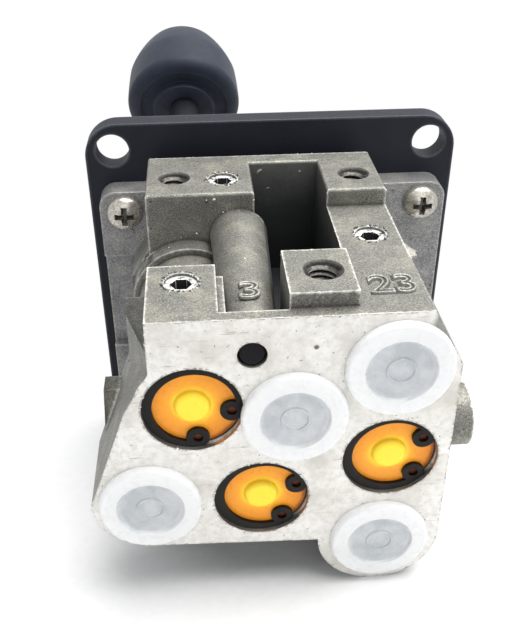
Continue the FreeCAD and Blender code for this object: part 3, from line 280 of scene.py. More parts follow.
def machined_face():
    """The milled port face: pale and mottled, with specks, scratches, nicks, a pit and some cast skin."""
    look = Surface("milled_face", Metallic=0.15)
    cloud = look.noise(13 * MM, 5, 0.6)
    base = look.ramp(cloud, [
        (0.36, (0.60, 0.58, 0.535)),
        (0.50, (0.77, 0.75, 0.71)),
        (0.60, (0.81, 0.795, 0.765)),
    ])
    mottle = look.ramp(look.noise(1.5 * MM, 4, 0.7), [(0.36, 0.55), (0.56, 0.0)])
    mottled = look.mixed(mottle, base, (0.56, 0.545, 0.51))
    speck = look.ramp(look.noise(0.9 * MM, 2, 0.55), [(0.29, 0.0), (0.32, 1.0)])
    spotted = look.mixed(speck, (0.16, 0.145, 0.12), mottled)
    scratch = look.ramp(look.noise(3.2 * MM, 3, 0.6, stretch=(0.3, 1.0, 5.0)), [(0.30, 0.0), (0.33, 1.0)])
    scratched = look.mixed(scratch, (0.42, 0.40, 0.36), spotted)
    off_skin = look.share(look.distance(in_valve(29.5, 0, -3.5), AROUND_Y), 4.2 * MM, 5.4 * MM)
    skinned = look.mixed(off_skin, (0.30, 0.295, 0.275), scratched)
    off_pit = look.share(look.distance(in_valve(1.7, 0, -7.2), AROUND_Y), 0.35 * MM, 0.7 * MM)
    pitted = look.mixed(off_pit, (0.12, 0.11, 0.09), skinned)
    nicks = look.ramp(look.near_edges(1.1 * MM, True, 1.6), [(0.42, 0.85), (0.56, 0.0)])
    look.colour(look.mixed(nicks, pitted, (0.16, 0.145, 0.12)))
    look.rough(look.ramp(cloud, [(0.3, 0.45), (0.7, 0.58)]))
    look.bump(look.noise(1.1 * MM, 3, 0.6), 0.03 * MM)
    look.bump(speck, 0.08 * MM)
    look.bump(scratch, 0.03 * MM)
    return look.material


def plain_metal(name, dark, light, rough=(0.25, 0.4), grain=1.2 * MM, depth=0.01 * MM, metallic=1.0):
    """Metal of one kind all over, brighter and smoother where its grain is light."""
    look = Surface(name, Metallic=metallic)
    value = look.noise(grain, 4, 0.6)
    look.colour(look.ramp(value, [(0.3, dark), (0.7, light)]))
    look.rough(look.ramp(value, [(0.3, rough[1]), (0.7, rough[0])]))
    look.bump(value, depth)
    return look.material


def struck_steel():
    """The bright heads of the sealing screws, with dark patches and painted shade where they meet the
    casting.
    """
    look = Surface("bright_steel", Metallic=0.3)
    patch = look.noise(1.1 * MM, 3, 0.6)
    patched = look.ramp(patch, [
        (0.38, (0.05, 0.048, 0.043)),
        (0.45, (0.66, 0.66, 0.65)),
        (0.60, (0.88, 0.88, 0.87)),
    ])
    # Painted shade in the corner where the head meets the casting.
    screw_edge_shade = look.ramp(look.near_edges(1.0 * MM, False, 0.9), [(0.55, 0.9), (0.80, 0.0)])
    look.colour(look.mixed(screw_edge_shade, patched, (0.035, 0.033, 0.03)))
    look.rough(look.ramp(patch, [(0.3, 0.35), (0.7, 0.2)]))
    look.bump(patch, 0.05 * MM)
    return look.material


def ringed(look, centre, width, stops, wobble):
    """A colour that changes with the distance from an axis along Y, with an uneven border."""
    reach = look.share(look.distance(centre, AROUND_Y), 0.0, width)
    return look.ramp(look.plus(reach, look.scaled(look.noise(5 * MM, 3, 0.5), wobble)), stops)


# The radius over which the colours of a plug in a bore or a port change
PLUG_RADIUS = 10.5 * MM
# How far the gap of each bore's retaining ring is turned, and where its two pierced lugs are
RING_TURNS = (-47.0, -18.0, -8.0)
LUG_ANGLE = 37.0
LUG_RADIUS = 8.3 * MM


def lug_places(number):
    """The middles of the two lug holes of a bore's retaining ring."""
    for side in (-1, 1):
        angle = math.radians(RING_TURNS[number - 1] + side * LUG_ANGLE)
        yield BORES[number - 1] + Vector((math.cos(angle), 0, math.sin(angle))) * LUG_RADIUS


def amber(number):
    """A bore's amber plug: yellow on the boss, orange about it, with painted shade at the rim and in the
    lug holes.
    """
    look = Surface(f"amber_plastic_{number}", IOR=1.5, Specular_IOR_Level=0.3)
    # The dark outer stops are painted shade at the rim, where the plug sits down in the bore.
    shade = ringed(look, BORES[number - 1], PLUG_RADIUS, [
        (0.33, (1.0, 0.74, 0.045)),
        (0.40, (1.0, 0.60, 0.03)),
        (0.48, (0.96, 0.40, 0.022)),
        (0.62, (0.90, 0.33, 0.018)),
        (0.86, (0.80, 0.27, 0.018)),
        (0.93, (0.42, 0.12, 0.014)),
        (1.0, (0.12, 0.04, 0.014)),
    ], 0.12)
    # Painted shade in the retaining ring's lug holes.
    for place in lug_places(number):
        from_lug = look.share(look.distance(place, AROUND_Y), 0.0, 2 * MM)
        in_lug = look.ramp(from_lug, [(0.5, 1.0), (0.75, 0.0)])
        shade = look.mixed(in_lug, shade, (0.16, 0.034, 0.013))
    look.colour(shade)
    grain = look.noise(0.8 * MM, 3, 0.6)
    look.rough(look.ramp(grain, [(0.3, 0.24), (0.7, 0.34)]))
    look.bump(grain, 0.01 * MM)
    return look.material


def soft_white(number):
    """A port's soft milky dust plug: white rim, and a thin cloudy skin over the hole."""
    look = Surface(f"soft_plug_{number}", Specular_IOR_Level=0.35)
    rings = ringed(look, PORTS[number - 1], PLUG_RADIUS, [
        (0.60, (0.44, 0.465, 0.49)),
        (0.66, (0.53, 0.55, 0.57)),
        (0.72, (0.74, 0.75, 0.755)),
        (0.98, (0.78, 0.785, 0.79)),
    ], 0.10)
    cloud = look.ramp(look.noise(4.5 * MM, 4, 0.6), [(0.40, 0.32), (0.60, 0.0)])
    look.colour(look.mixed(cloud, rings, (0.74, 0.75, 0.76)))
    grain = look.noise(2.2 * MM, 4, 0.6)
    look.rough(look.ramp(grain, [(0.3, 0.22), (0.7, 0.36)]))
    look.bump(grain, 0.05 * MM)
    return look.material


def black_coat():
    """Dull black coating, lighter along its edges by wear and painted highlight."""
    look = Surface("black_coat", Specular_IOR_Level=0.28)
    broad = look.ramp(look.noise(8 * MM, 2, 0.5), [
        (0.3, (0.004, 0.0055, 0.011)),
        (0.7, (0.007, 0.009, 0.018)),
    ])
    # Lighter edges: wear and painted highlight.
    wear_and_highlight = look.ramp(look.near_edges(0.8 * MM, True, 0.3), [(0.55, 0.9), (0.92, 0.0)])
    look.colour(look.mixed(wear_and_highlight, broad, (0.085, 0.092, 0.11)))
    grain = look.noise(0.7 * MM, 4, 0.6)
    look.rough(look.ramp(grain, [(0.3, 0.48), (0.7, 0.6)]))
    look.bump(grain, 0.03 * MM)
    return look.material


def plastic(name, dark, light, rough=(0.4, 0.55), grain=0.8 * MM, depth=0.01 * MM, **sockets):
    """Plastic, rubber or a dull coating of one kind all over, with broad soft blotches."""
    look = Surface(name, **sockets)
    value = look.noise(grain, 4, 0.6)
    broad = look.noise(grain * 12, 2, 0.5)
    look.colour(look.ramp(broad, [(0.3, dark), (0.7, light)]))
    look.rough(look.ramp(value, [(0.3, rough[0]), (0.7, rough[1])]))
    look.bump(value, depth)
    return look.material


CAST_DARK = (0.10, 0.0995, 0.091)
CAST_LIGHT = (0.236, 0.233, 0.208)
LOOKS = {
    "cast": cast_metal("rough_cast", CAST_DARK, CAST_LIGHT, edge_wear_and_highlight=0.8),
    "flange": cast_metal("smooth_cast", (0.168, 0.168, 0.17), (0.28, 0.28, 0.282), edge_wear_and_highlight=0.4, relief=0.6),
    "pocket": pocket_metal(),
    "hole": plain_metal(
        "shaded_hole", (0.06, 0.06, 0.057), (0.20, 0.197, 0.185), (0.35, 0.5), 0.6 * MM, metallic=0.4,
    ),
    "face": machined_face(),
    "bore": plain_metal("bored_metal", (0.50, 0.49, 0.47), (0.85, 0.84, 0.82), (0.3, 0.45)),
    # Near-black: painted shade on the thread's flanks inside the hole.
    "thread": plain_metal(
        "thread_shade", (0.02, 0.019, 0.017), (0.12, 0.117, 0.108), (0.3, 0.45), 0.6 * MM,
    ),
    # Near-white: painted highlight on the thread's crests and on the burrs.
    "crest": plain_metal(
        "crest_highlight", (0.45, 0.44, 0.41), (0.96, 0.95, 0.92), (0.25, 0.4), 0.9 * MM, metallic=0.1,
    ),
    "plate": black_coat(),
    "zinc": plain_metal(
        "nickel", (0.30, 0.275, 0.24), (0.66, 0.63, 0.575), (0.2, 0.36), 0.8 * MM, 0.03 * MM, metallic=0.75,
    ),
    "bright": struck_steel(),
    "steel": plain_metal("turned_steel", (0.42, 0.42, 0.43), (0.62, 0.62, 0.63)),
    "black_steel": plastic(
        "black_oxide", (0.0036, 0.0032, 0.0030), (0.009, 0.0078, 0.0072), (0.36, 0.5), 0.5 * MM, 0.02 * MM,
        Specular_IOR_Level=0.22,
    ),
    "spring": plain_metal("spring_wire", (0.35, 0.35, 0.36), (0.55, 0.55, 0.56)),
    "brass": plain_metal("bronze", (0.55, 0.38, 0.16), (0.72, 0.54, 0.28)),
    "spool": plain_metal("turned_aluminium", (0.6, 0.6, 0.6), (0.8, 0.8, 0.8)),
    "knob": plastic(
        "matte_knob", (0.011, 0.015, 0.026), (0.016, 0.022, 0.039), (0.5, 0.65), 0.35 * MM, 0.012 * MM,
        Specular_IOR_Level=0.22, Sheen_Weight=0.07,
    ),
    "shaft": plastic(
        "dull_shaft", (0.011, 0.0125, 0.016), (0.018, 0.020, 0.025), (0.6, 0.75), 0.5 * MM, 0.01 * MM,
        Specular_IOR_Level=0.12,
    ),
    # Dark: painted shade inside the pan heads' cross recesses.
    "cross": plain_metal(
        "cross_recess", (0.06, 0.054, 0.047), (0.20, 0.185, 0.165), (0.35, 0.5), 0.7 * MM, metallic=0.4,
    ),
    "rubber": plastic("black_rubber", (0.012, 0.012, 0.013), (0.025, 0.025, 0.027), (0.5, 0.65)),
    # Lighter than the casting: painted highlight on the raised numerals, the flash and the pocket's burrs.
    "ridge": cast_metal("cast_ridge", (0.17, 0.17, 0.158), (0.40, 0.395, 0.36), relief=0.5),
    # Dark: painted shadow under the numerals and around the sealing screws.
    "stain": plastic("shadow_groove", (0.028, 0.027, 0.024), (0.06, 0.058, 0.053), (0.5, 0.7)),
    "vent": plastic(
        "glossy_black", (0.003, 0.003, 0.005), (0.006, 0.006, 0.010), (0.2, 0.3), Specular_IOR_Level=0.16,
    ),
    # Near-black: painted shade inside the screws' sockets.
    "recess": plastic("socket_shade", (0.01, 0.01, 0.011), (0.03, 0.03, 0.032), (0.4, 0.6)),
}
LOOKS.update({f"amber_{number}": amber(number) for number in (1, 2, 3)})
LOOKS.update({f"cap_{number}": soft_white(number) for number in (1, 2, 3, 4)})


def new_piece(name, mesh, body, looks):
    """Adds a piece to the scene, riding on a body, with its own materials."""
    piece = bpy.data.objects.new(name, mesh)
    SCENE.collection.objects.link(piece)
    for look in looks:
        mesh.materials.append(LOOKS[look])
    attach(piece, body)
    return piece


def mesh_from(bm, name, smooth_angle=math.radians(35)):
    """Turns a bmesh into a mesh that is smooth except at edges sharper than the angle."""
    mesh = bpy.data.meshes.new(name)
    bm.to_mesh(mesh)
    bm.free()
    mesh.polygons.foreach_set("use_smooth", [True] * len(mesh.polygons))
    mesh.set_sharp_from_angle(angle=smooth_angle)
    return mesh


def clean_copy(node):
    """A copy of a node's mesh with its seams closed and its flat faces whole."""
    bm = bmesh.new()
    bm.from_mesh(NODES[node].data)
    bmesh.ops.remove_doubles(bm, verts=bm.verts, dist=0.002 * MM)
    bmesh.ops.dissolve_limit(bm, angle_limit=math.radians(0.5), verts=bm.verts, edges=bm.edges)
    return bm


def dressed(node, name, looks, width, weight=None, region=None, segments=2, shape=None):
    """A copy of a node with rounded edges, which then stands for it.

    weight gives how much of the width an edge gets, and region the material of a face. The rounded
    edges get the last of the looks. shape may move corners first.
    """
    bm = clean_copy(node)
    if shape:
        shape(bm)
    layer = bm.edges.layers.float.new("bevel_weight_edge")
    for edge in bm.edges:
        if len(edge.link_faces) == 2 and edge.calc_face_angle(0) > math.radians(28):
            edge[layer] = weight(edge) if weight else 1.0
    for face in bm.faces:
        face.material_index = region(face) if region else 0
    mesh = mesh_from(bm, name)
    piece = new_piece(name, mesh, BODY_OF[node], looks)
    rounding = piece.modifiers.new("rounded", "BEVEL")
    rounding.limit_method = "WEIGHT"
    rounding.width = width
    rounding.segments = segments
    rounding.material = len(looks) - 1
    flat = piece.modifiers.new("flat_faces", "WEIGHTED_NORMAL")
    flat.keep_sharp = True
    flat.weight = 100
    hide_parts(node)


THREADS = [MOUNTS[name] for name in ("left_thread", "right_thread", "front_thread")]
# How far from its axis the faces of each kind of hole lie, with the rounding of its mouth, and how deep
BORE_REACH = 11.1 * MM
PORT_REACH = 8.2 * MM
SCREW_REACH = 4.3 * MM
THREAD_MOUTH = 0.7 * MM
UPPER_HOLE_DEPTH = 9 * MM
FACE_HOLE_DEPTH = 50 * MM
UPPER_HOLES = [(Vector(mount["pos_m"]), mount["dims"]["r_mm"] * MM + THREAD_MOUTH) for mount in THREADS]
FACE_HOLES = [(bore, BORE_REACH) for bore in BORES] + [(port, PORT_REACH) for port in PORTS]


def screw_places():
    """The middle of the top of each sealing screw, from left to right in every run."""
    bm = clean_copy("sealing_screws")
    places = []
    left = set(bm.verts)
    while left:
        shell = {left.pop()}
        newest = list(shell)
        while newest:
            vert = newest.pop()
            for edge in vert.link_edges:
                other = edge.other_vert(vert)
                if other in left:
                    left.remove(other)
                    shell.add(other)
                    newest.append(other)
        low = Vector(min(vert.co[axis] for vert in shell) for axis in range(3))
        high = Vector(max(vert.co[axis] for vert in shell) for axis in range(3))
        places.append(Vector(((low.x + high.x) / 2, (low.y + high.y) / 2, high.z)))
    bm.free()
    return sorted(places, key=lambda place: place.x)


SCREWS = screw_places()
SCREW_HOLES = [(screw, SCREW_REACH) for screw in SCREWS]
# The casting's rear, below the blocks, and its sloping left shoulder keep sharp edges
REAR_START = PORT_FACE + 48.5 * MM
REAR_TOP = TERRACE - 12 * MM
SHOULDER = -31 * MM
# How close to the port face an edge or a face has to be to be part of it, and where a bore's wall starts
EDGE_AT_FACE = 0.1 * MM
FACE_AT_FACE = 0.02 * MM
WALL_START = 0.05 * MM


def casting_edge(edge):
    """Full rounding outside, a touch of it at the mouths of holes and none inside them."""
    points = [vert.co for vert in edge.verts]
    at_face = all(point.y < PORT_FACE + EDGE_AT_FACE for point in points)
    for centre, radius in FACE_HOLES:
        if all(across(point, centre, FROM_FRONT) < radius for point in points):
            return 0.9 if at_face else 0.0
    for centre, radius in UPPER_HOLES:
        if all(across(point, centre, FROM_ABOVE) < radius for point in points):
            return 0.0
    if all(point.y > REAR_START and point.z < REAR_TOP for point in points):
        return 0.0
    if at_face:
        return 0.6
    return 0.0 if all(point.x < SHOULDER for point in points) else 1.0


def in_box(point, low, high):
    """True for a point inside a box or within a tenth of a millimetre of it."""
    return all(low[axis] - 0.1 * MM <= point[axis] <= high[axis] + 0.1 * MM for axis in range(3))


# The pocket between the blocks, with a margin for its walls
POCKET = next(opening for opening in RECORD["physics"]["openings"] if opening["name"] == "cavity")
POCKET_LOW = Vector(POCKET["box_m"][0]) - Vector((2 * MM, 3 * MM, 3 * MM))
POCKET_HIGH = Vector(POCKET["box_m"][1]) + Vector((2 * MM, 3 * MM, 0))
UPPER_SIDE = TERRACE - 10 * MM
CASTING_LOOKS = ("cast", "face", "bore", "pocket", "hole", "cast")


def casting_region(face):
    """Which of the casting's looks a face has."""
    middle = face.calc_center_median()
    for centre, radius in UPPER_HOLES + SCREW_HOLES:
        near_mouth = abs(middle.z - centre.z) < UPPER_HOLE_DEPTH
        if near_mouth and across(middle, centre, FROM_ABOVE) < radius and face.normal.z < 0.9:
            return CASTING_LOOKS.index("hole")
    faces_up = face.normal.z > 0.5 and middle.z > UPPER_SIDE
    if in_box(middle, POCKET_LOW, POCKET_HIGH) and not faces_up:
        return CASTING_LOOKS.index("pocket")
    for centre, radius in FACE_HOLES:
        inside = all(across(vert.co, centre, FROM_FRONT) < radius for vert in face.verts)
        if inside and WALL_START < middle.y - PORT_FACE < FACE_HOLE_DEPTH:
            return CASTING_LOOKS.index("bore")
    if abs(middle.y - PORT_FACE) < FACE_AT_FACE:
        return CASTING_LOOKS.index("face")
    return CASTING_LOOKS.index("cast")


dressed("valve_body", "casting", CASTING_LOOKS, 0.5 * MM, casting_edge, casting_region, 3)
dressed("lever_housing", "housing_flange", ("flange", "flange"), 0.5 * MM)
dressed("faceplate", "panel", ("plate", "plate"), 0.7 * MM)

for number in (1, 2, 3):
    dressed(f"bore_plug_{number}", f"amber_plug_{number}", (f"amber_{number}",) * 2, 0.2 * MM)
    dressed(f"circlip_{number}", f"retaining_ring_{number}", ("black_steel", "black_steel"), 0.18 * MM)

for number in (1, 2, 3, 4):
    dressed(f"port_cap_{number}", f"dust_plug_{number}", (f"cap_{number}",) * 2, 0.12 * MM)


HEAD_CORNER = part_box("housing_screws")[1]
HEAD_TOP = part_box("housing_screws")[0].y
HEAD_RADIUS = 4.75 * MM
CROSS_ARM = 2.6 * MM
CROSS_HALF = 0.55 * MM
CROSS_FLOOR = HEAD_TOP + 2.2 * MM
CROSS_NEAR = 0.1 * MM
# The slots' widths and arms are multiplied by these at the top and at the floor
CROSS_SPREAD = 1.5
CROSS_TAPER = 0.7
PAN_MIDDLES = [
    Vector((side * (HEAD_CORNER.x - HEAD_RADIUS), HEAD_TOP, level * (HEAD_CORNER.z - HEAD_RADIUS)))
    for side in (-1, 1) for level in (-1, 1)
]


def nearest_of(places, point, axes):
    """The place that is nearest to a point as seen along the third axis."""
    return min(places, key=lambda place: across(point, place, axes))


def cross_region(face):
    """The cross recess of a pan head is dark: painted shade."""
    middle = face.calc_center_median()
    inside = across(middle, nearest_of(PAN_MIDDLES, middle, FROM_FRONT), FROM_FRONT) < CROSS_ARM * 1.05
    wall = abs(face.normal.y) < 0.4 or middle.y > CROSS_FLOOR - CROSS_NEAR
    return 1 if inside and wall and middle.y < CROSS_FLOOR + CROSS_NEAR else 0


def widen_cross(bm):
    """Makes the slots of the cross wide at the top and narrow at the floor."""
    for vert in bm.verts:
        if vert.co.y > CROSS_FLOOR + CROSS_NEAR:
            continue
        nearest = nearest_of(PAN_MIDDLES, vert.co, FROM_FRONT)
        at_floor = vert.co.y > CROSS_FLOOR - CROSS_NEAR
        for axis in FROM_FRONT:
            out = vert.co[axis] - nearest[axis]
            side = vert.co[2 - axis] - nearest[2 - axis]
            if abs(abs(out) - CROSS_HALF) < 0.02 * MM and abs(side) < CROSS_ARM * 1.02:
                vert.co[axis] = nearest[axis] + out * (CROSS_TAPER if at_floor else CROSS_SPREAD)
            elif at_floor and abs(abs(out) - CROSS_ARM) < 0.02 * MM:
                vert.co[axis] = nearest[axis] + out * CROSS_TAPER


dressed(
    "housing_screws", "corner_screws", ("zinc", "cross", "zinc"), 0.1 * MM,
    region=cross_region, shape=widen_cross,
)


# The sockets of the sealing screws: how far down their walls start to be dark, and the widest they get
SOCKET_START = 0.25 * MM
SOCKET_RADIUS = 2.4 * MM


def socket_region(face):
    """Painted shade inside the sockets, bright on the screws' rims."""
    middle = face.calc_center_median()
    nearest = nearest_of(SCREWS, middle, FROM_ABOVE)
    deep = middle.z < nearest.z - SOCKET_START
    return 1 if deep and across(middle, nearest, FROM_ABOVE) < SOCKET_RADIUS else 0


dressed("sealing_screws", "socket_screws", ("bright", "recess", "bright"), 0.15 * MM, region=socket_region)


# The knob's hollow: how deep and how far from the axis its floor and the rim of its hub lie, and how far
# each comes out along the lever, which leans up by the tilt
LEVER_TILT = math.radians(20)
FLOOR_DEPTH = (6 * MM, 8 * MM)
FLOOR_RADIUS = (10 * MM, 15.5 * MM)
FLOOR_RISE = 5.6 * MM
HUB_DEPTH = 0.5 * MM
HUB_RADIUS = (10 * MM, 11 * MM)
HUB_RISE = 1.3 * MM


def raise_hollow(bm):
    """Brings the floor of the knob's hollow close to its rim, and lets its hub stand out a little."""
    along = Vector((0, math.cos(LEVER_TILT), math.sin(LEVER_TILT)))
    over = Vector((0, -math.sin(LEVER_TILT), math.cos(LEVER_TILT)))
    heights = [vert.co.dot(over) for vert in bm.verts]
    middle = Vector((centre_of("lever_knob").x, (max(heights) + min(heights)) / 2))
    start = min(vert.co.dot(along) for vert in bm.verts)
    for vert in bm.verts:
        depth = vert.co.dot(along) - start
        radius = math.hypot(vert.co.x - middle.x, vert.co.dot(over) - middle.y)
        if FLOOR_DEPTH[0] < depth < FLOOR_DEPTH[1] and FLOOR_RADIUS[0] < radius < FLOOR_RADIUS[1]:
            vert.co -= along * FLOOR_RISE
        elif depth < HUB_DEPTH and HUB_RADIUS[0] < radius < HUB_RADIUS[1]:
            vert.co -= along * HUB_RISE


dressed("lever_knob", "mushroom_knob", ("knob", "knob"), 0.6 * MM, shape=raise_hollow, segments=3)
dressed("lever_shaft", "lever_bar", ("shaft", "shaft"), 0.2 * MM)

SHOWN_AS_BUILT = [
    "body_bolts", "friction_washer", "piston_seal", "pivot_bushes", "pivot_clips", "pivot_pin",
    "plug_seal_1", "plug_seal_2", "plug_seal_3", "relief_piston", "rocker_cam", "roll_pin",
    "spool_1", "spool_2", "spool_seals_1", "spool_seals_2", "spool_spring_1", "vent_plug",
]
for node in SHOWN_AS_BUILT:
    for slot in NODES[node].material_slots:
        slot.material = LOOKS[SLOT_OF[node]]


def pressed_spring(node, name):
    """A copy of a spring that rides on its joint's body in place of the imported one."""
    mesh = NODES[node].data.copy()
    mesh.materials.clear()
    piece = new_piece(name, mesh, BODY_OF[node], ["spring"])
    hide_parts(node)
    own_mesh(piece)


pressed_spring("spool_spring_2", "lower_spool_spring")
pressed_spring("relief_spring", "piston_spring")


def numeral(text, name, place, size, width, wire, flat, look):
    """A plain raised numeral drawn in outline, as it is cast, lying on an upper surface."""
    curve = bpy.data.curves.new(name, "FONT")
    curve.body = text
    curve.size = size
    curve.fill_mode = "NONE"
    curve.bevel_depth = wire
    curve.bevel_resolution = 2
    curve.resolution_u = 6
    writing = bpy.data.objects.new(name, curve)
    SCENE.collection.objects.link(writing)
    bpy.context.view_layer.update()
    drawn = writing.evaluated_get(bpy.context.evaluated_depsgraph_get())
    mesh = bpy.data.meshes.new_from_object(drawn)
    bpy.data.objects.remove(writing)
    low = min(vert.co.x for vert in mesh.vertices)
    span = max(vert.co.x for vert in mesh.vertices) - low
    for vert in mesh.vertices:
        vert.co.x = (vert.co.x - low) * width / span
        vert.co.z *= flat
        vert.co += place
    mesh.materials.clear()
    mesh.polygons.foreach_set("use_smooth", [True] * len(mesh.polygons))
    new_piece(name, mesh, "casing", [look])


# The numerals' strokes, and the wider and flatter dark foot under them, a painted shadow: radius, and share
# of its height
STROKE = (0.30 * MM, 1.5)
FOOT = (0.62 * MM, 0.12)
FOOT_SHIFT = Vector((0.1, 0.15, 0)) * MM
for text, label, place, size, width in (
    ("23", "port_numeral_23", in_valve(13.5, 7.7, 0.0), 9.6 * MM, 9.8 * MM),
    ("3", "port_numeral_3", in_valve(-12.9, 9.8, -1.1), 8.6 * MM, 4.5 * MM),
):
    numeral(text, label, place, size, width, *STROKE, "ridge")
    numeral(text, label + "_foot", place - FOOT_SHIFT, size, width, *FOOT, "stain")

THREAD_PITCH = 1.25 * MM
THREAD_DEPTH = 0.6 * MM
# The thread's ridge in section, out from the wall and up, from its lower to its upper root
THREAD_PROFILE = [
    (0.02 * MM, -THREAD_PITCH * 0.46),
    (-THREAD_DEPTH, -THREAD_PITCH * 0.12),
    (-THREAD_DEPTH, THREAD_PITCH * 0.12),
    (0.02 * MM, THREAD_PITCH * 0.46),
]
THREAD_LOOKS = ("thread", "crest")
STEPS_PER_TURN = 40


def thread_in(mount, name):
    """The ridge of an internal thread, wound up along its hole's wall and out along the bevelled mouth."""
    radius = mount["dims"]["r_mm"] * MM
    length = mount["dims"]["length_mm"] * MM
    start = Vector(mount["pos_m"]) - Vector((0, 0, length / 2))
    turns = int(length / THREAD_PITCH)
    bm = bmesh.new()
    rings = []
    for step in range(turns * STEPS_PER_TURN + 1):
        angle = step / STEPS_PER_TURN * 2 * math.pi
        rise = THREAD_PITCH * step / STEPS_PER_TURN
        ring = []
        for out, up in THREAD_PROFILE:
            reach = radius + out + max(0.0, rise + up - length)
            corner = Vector((reach * math.cos(angle), reach * math.sin(angle), rise + up))
            ring.append(bm.verts.new(start + corner))
        rings.append(ring)
    last = len(THREAD_PROFILE) - 1
    for first, second in zip(rings, rings[1:]):
        for index in range(last):
            face = bm.faces.new((first[index], first[index + 1], second[index + 1], second[index]))
            # The crests get the painted highlight and the flanks the painted shade.
            on_crest = index == 1
            face.material_index = THREAD_LOOKS.index("crest" if on_crest else "thread")
        bm.faces.new((first[last], first[0], second[0], second[last]))
    bm.faces.new(rings[0])
    bm.faces.new(list(reversed(rings[-1])))
    bmesh.ops.recalc_face_normals(bm, faces=bm.faces)
    new_piece(name, mesh_from(bm, name, math.radians(25)), "casing", THREAD_LOOKS)


for mount in THREADS:
    thread_in(mount, mount["name"] + "_ridge")


def edge_places(count, chance):
    """Places scattered along the casting's outer edges, with the directions that lead out of it."""
    bm = clean_copy("valve_body")
    edges = [
        edge for edge in bm.edges
        if len(edge.link_faces) == 2 and edge.is_convex and edge.calc_face_angle(0) > math.radians(40)
        and casting_edge(edge) > 0.3
    ]
    edges.sort(key=lambda edge: tuple(round(value, 6) for vert in edge.verts for value in vert.co))
    lengths = [edge.calc_length() for edge in edges]
    places = []
    for edge in chance.choices(edges, lengths, k=count):
        first, second = (vert.co for vert in edge.verts)
        outward = sum((face.normal for face in edge.link_faces), Vector()).normalized()
        places.append((first.lerp(second, chance.random()), outward))
    bm.free()
    return places


def crumbs(name, places, sizes, chance, look):
    """Small angular burrs of metal, half sunk where they stick."""
    bm = bmesh.new()
    for place, outward in places:
        size = chance.uniform(*sizes)
        middle = place - outward * size * 0.35
        angle = chance.uniform(0, 2 * math.pi)
        turn = Matrix.Rotation(angle, 3, Vector([chance.uniform(-1, 1) for axis in range(3)]))
        tips = []
        for axis in range(3):
            for side in (-1, 1):
                tip = Vector()
                tip[axis] = side * size * chance.uniform(0.35, 1.0)
                tips.append(bm.verts.new(middle + turn @ tip))
        for x in tips[0:2]:
            for y in tips[2:4]:
                for z in tips[4:6]:
                    bm.faces.new((x, y, z))
    bmesh.ops.recalc_face_normals(bm, faces=bm.faces)
    new_piece(name, mesh_from(bm, name), "casing", [look])


# The flash's outline, as x and depth in the valve, its upper and lower height, and how it bends down
FLASH_OUTLINE = [
    (24.4, 33.8), (25.3, 31.8), (25.2, 29.9), (26.2, 28.2), (27.4, 26.9),
    (26.9, 26.2), (27.1, 24.6), (25.6, 23.6), (25.2, 21.4), (24.4, 18.8),
]
FLASH_HEIGHTS = (-0.5, -0.95)
FLASH_START = 24.6
FLASH_SLOPE = 0.25


def flash_tab():
    """The thin jagged flash left on the right edge of the upper side."""
    bm = bmesh.new()
    upper, lower = (
        [
            bm.verts.new(in_valve(x, depth, height - (x - FLASH_START) * FLASH_SLOPE))
            for x, depth in FLASH_OUTLINE
        ]
        for height in FLASH_HEIGHTS
    )
    for index, corner in enumerate(upper):
        following = (index + 1) % len(upper)
        bm.faces.new((corner, upper[following], lower[following], lower[index]))
    bm.faces.new(upper)
    bm.faces.new(list(reversed(lower)))
    bmesh.ops.recalc_face_normals(bm, faces=bm.faces)
    new_piece("edge_flash", mesh_from(bm, "edge_flash"), "casing", ["ridge"])


# The marks of the tool that struck the casting over each sealing screw: how many, how far from its axis
STAKES = 60
STAKE_RADII = (3.7, 4.4)
STAKE_SHIFT = 0.1


def staked_places(chance):
    """Places around each sealing screw, where the metal was struck over it."""
    bm = clean_copy("valve_body")
    tree = BVHTree.FromBMesh(bm)
    bm.free()
    places = []
    for screw in SCREWS:
        for step in range(STAKES):
            angle = step / STAKES * 2 * math.pi + chance.uniform(-STAKE_SHIFT, STAKE_SHIFT)
            radius = chance.uniform(*STAKE_RADII) * MM
            over = screw + Vector((math.cos(angle), math.sin(angle), 0)) * radius + Vector((0, 0, 40 * MM))
            top = tree.ray_cast(over, Vector((0, 0, -1)))[0]
            if top and top.z > screw.z - 2 * MM:
                places.append((top, Vector((0, 0, 1))))
    return places


def facing(burrs, outward):
    """The places of a list of burrs, with the direction that leads out of the casting there."""
    return [(in_valve(*burr), Vector(outward)) for burr in burrs]


# Burrs that stand on the casting, as x, depth and height in the valve: on faces that look forward,
# on the pocket's far wall, and on faces that look up
FRONT_BURRS = [
    (-15.4, 49.0, -1.5), (-14.6, 49.0, -0.6), (-13.4, 49.0, -0.2), (-12.2, 49.0, 0.0), (-11.0, 49.0, -0.4),
    (-25.0, 49.0, -7.0), (-23.6, 49.0, -6.6), (-21.1, 49.0, -6.1), (-17.5, 49.0, 2.2), (-18.4, 49.0, 2.6),
    (-16.6, 49.0, 2.8),
]
POCKET_BURRS = [
    (-4.4, 67.5, 1.9), (0.9, 67.5, 1.7), (6.1, 67.5, 1.5), (11.2, 67.5, 1.9), (-2.0, 67.5, -3.0),
]
UPPER_BURRS = [
    (-27.9, 46.8, -8.4), (-26.5, 47.7, -8.1), (-10.8, 48.2, 0.1), (-9.8, 46.9, -0.1), (-10.8, 25.5, -0.7),
    (-9.6, 21.8, -1.0), (-12.7, 18.6, -1.3), (-10.0, 30.5, -0.6), (-8.1, 28.4, -1.3), (-7.5, 12.6, -2.3),
    (-16.7, 18.1, -3.0), (-16.7, 12.6, -3.0), (-16.5, 9.0, -3.0), (-15.9, 61.9, 4.3), (-16.6, 15.0, -3.0),
]
CHANCE = random.Random(7)
crumbs("edge_burrs", edge_places(260, CHANCE), (0.18 * MM, 0.5 * MM), CHANCE, "crest")
STAKED = staked_places(CHANCE)
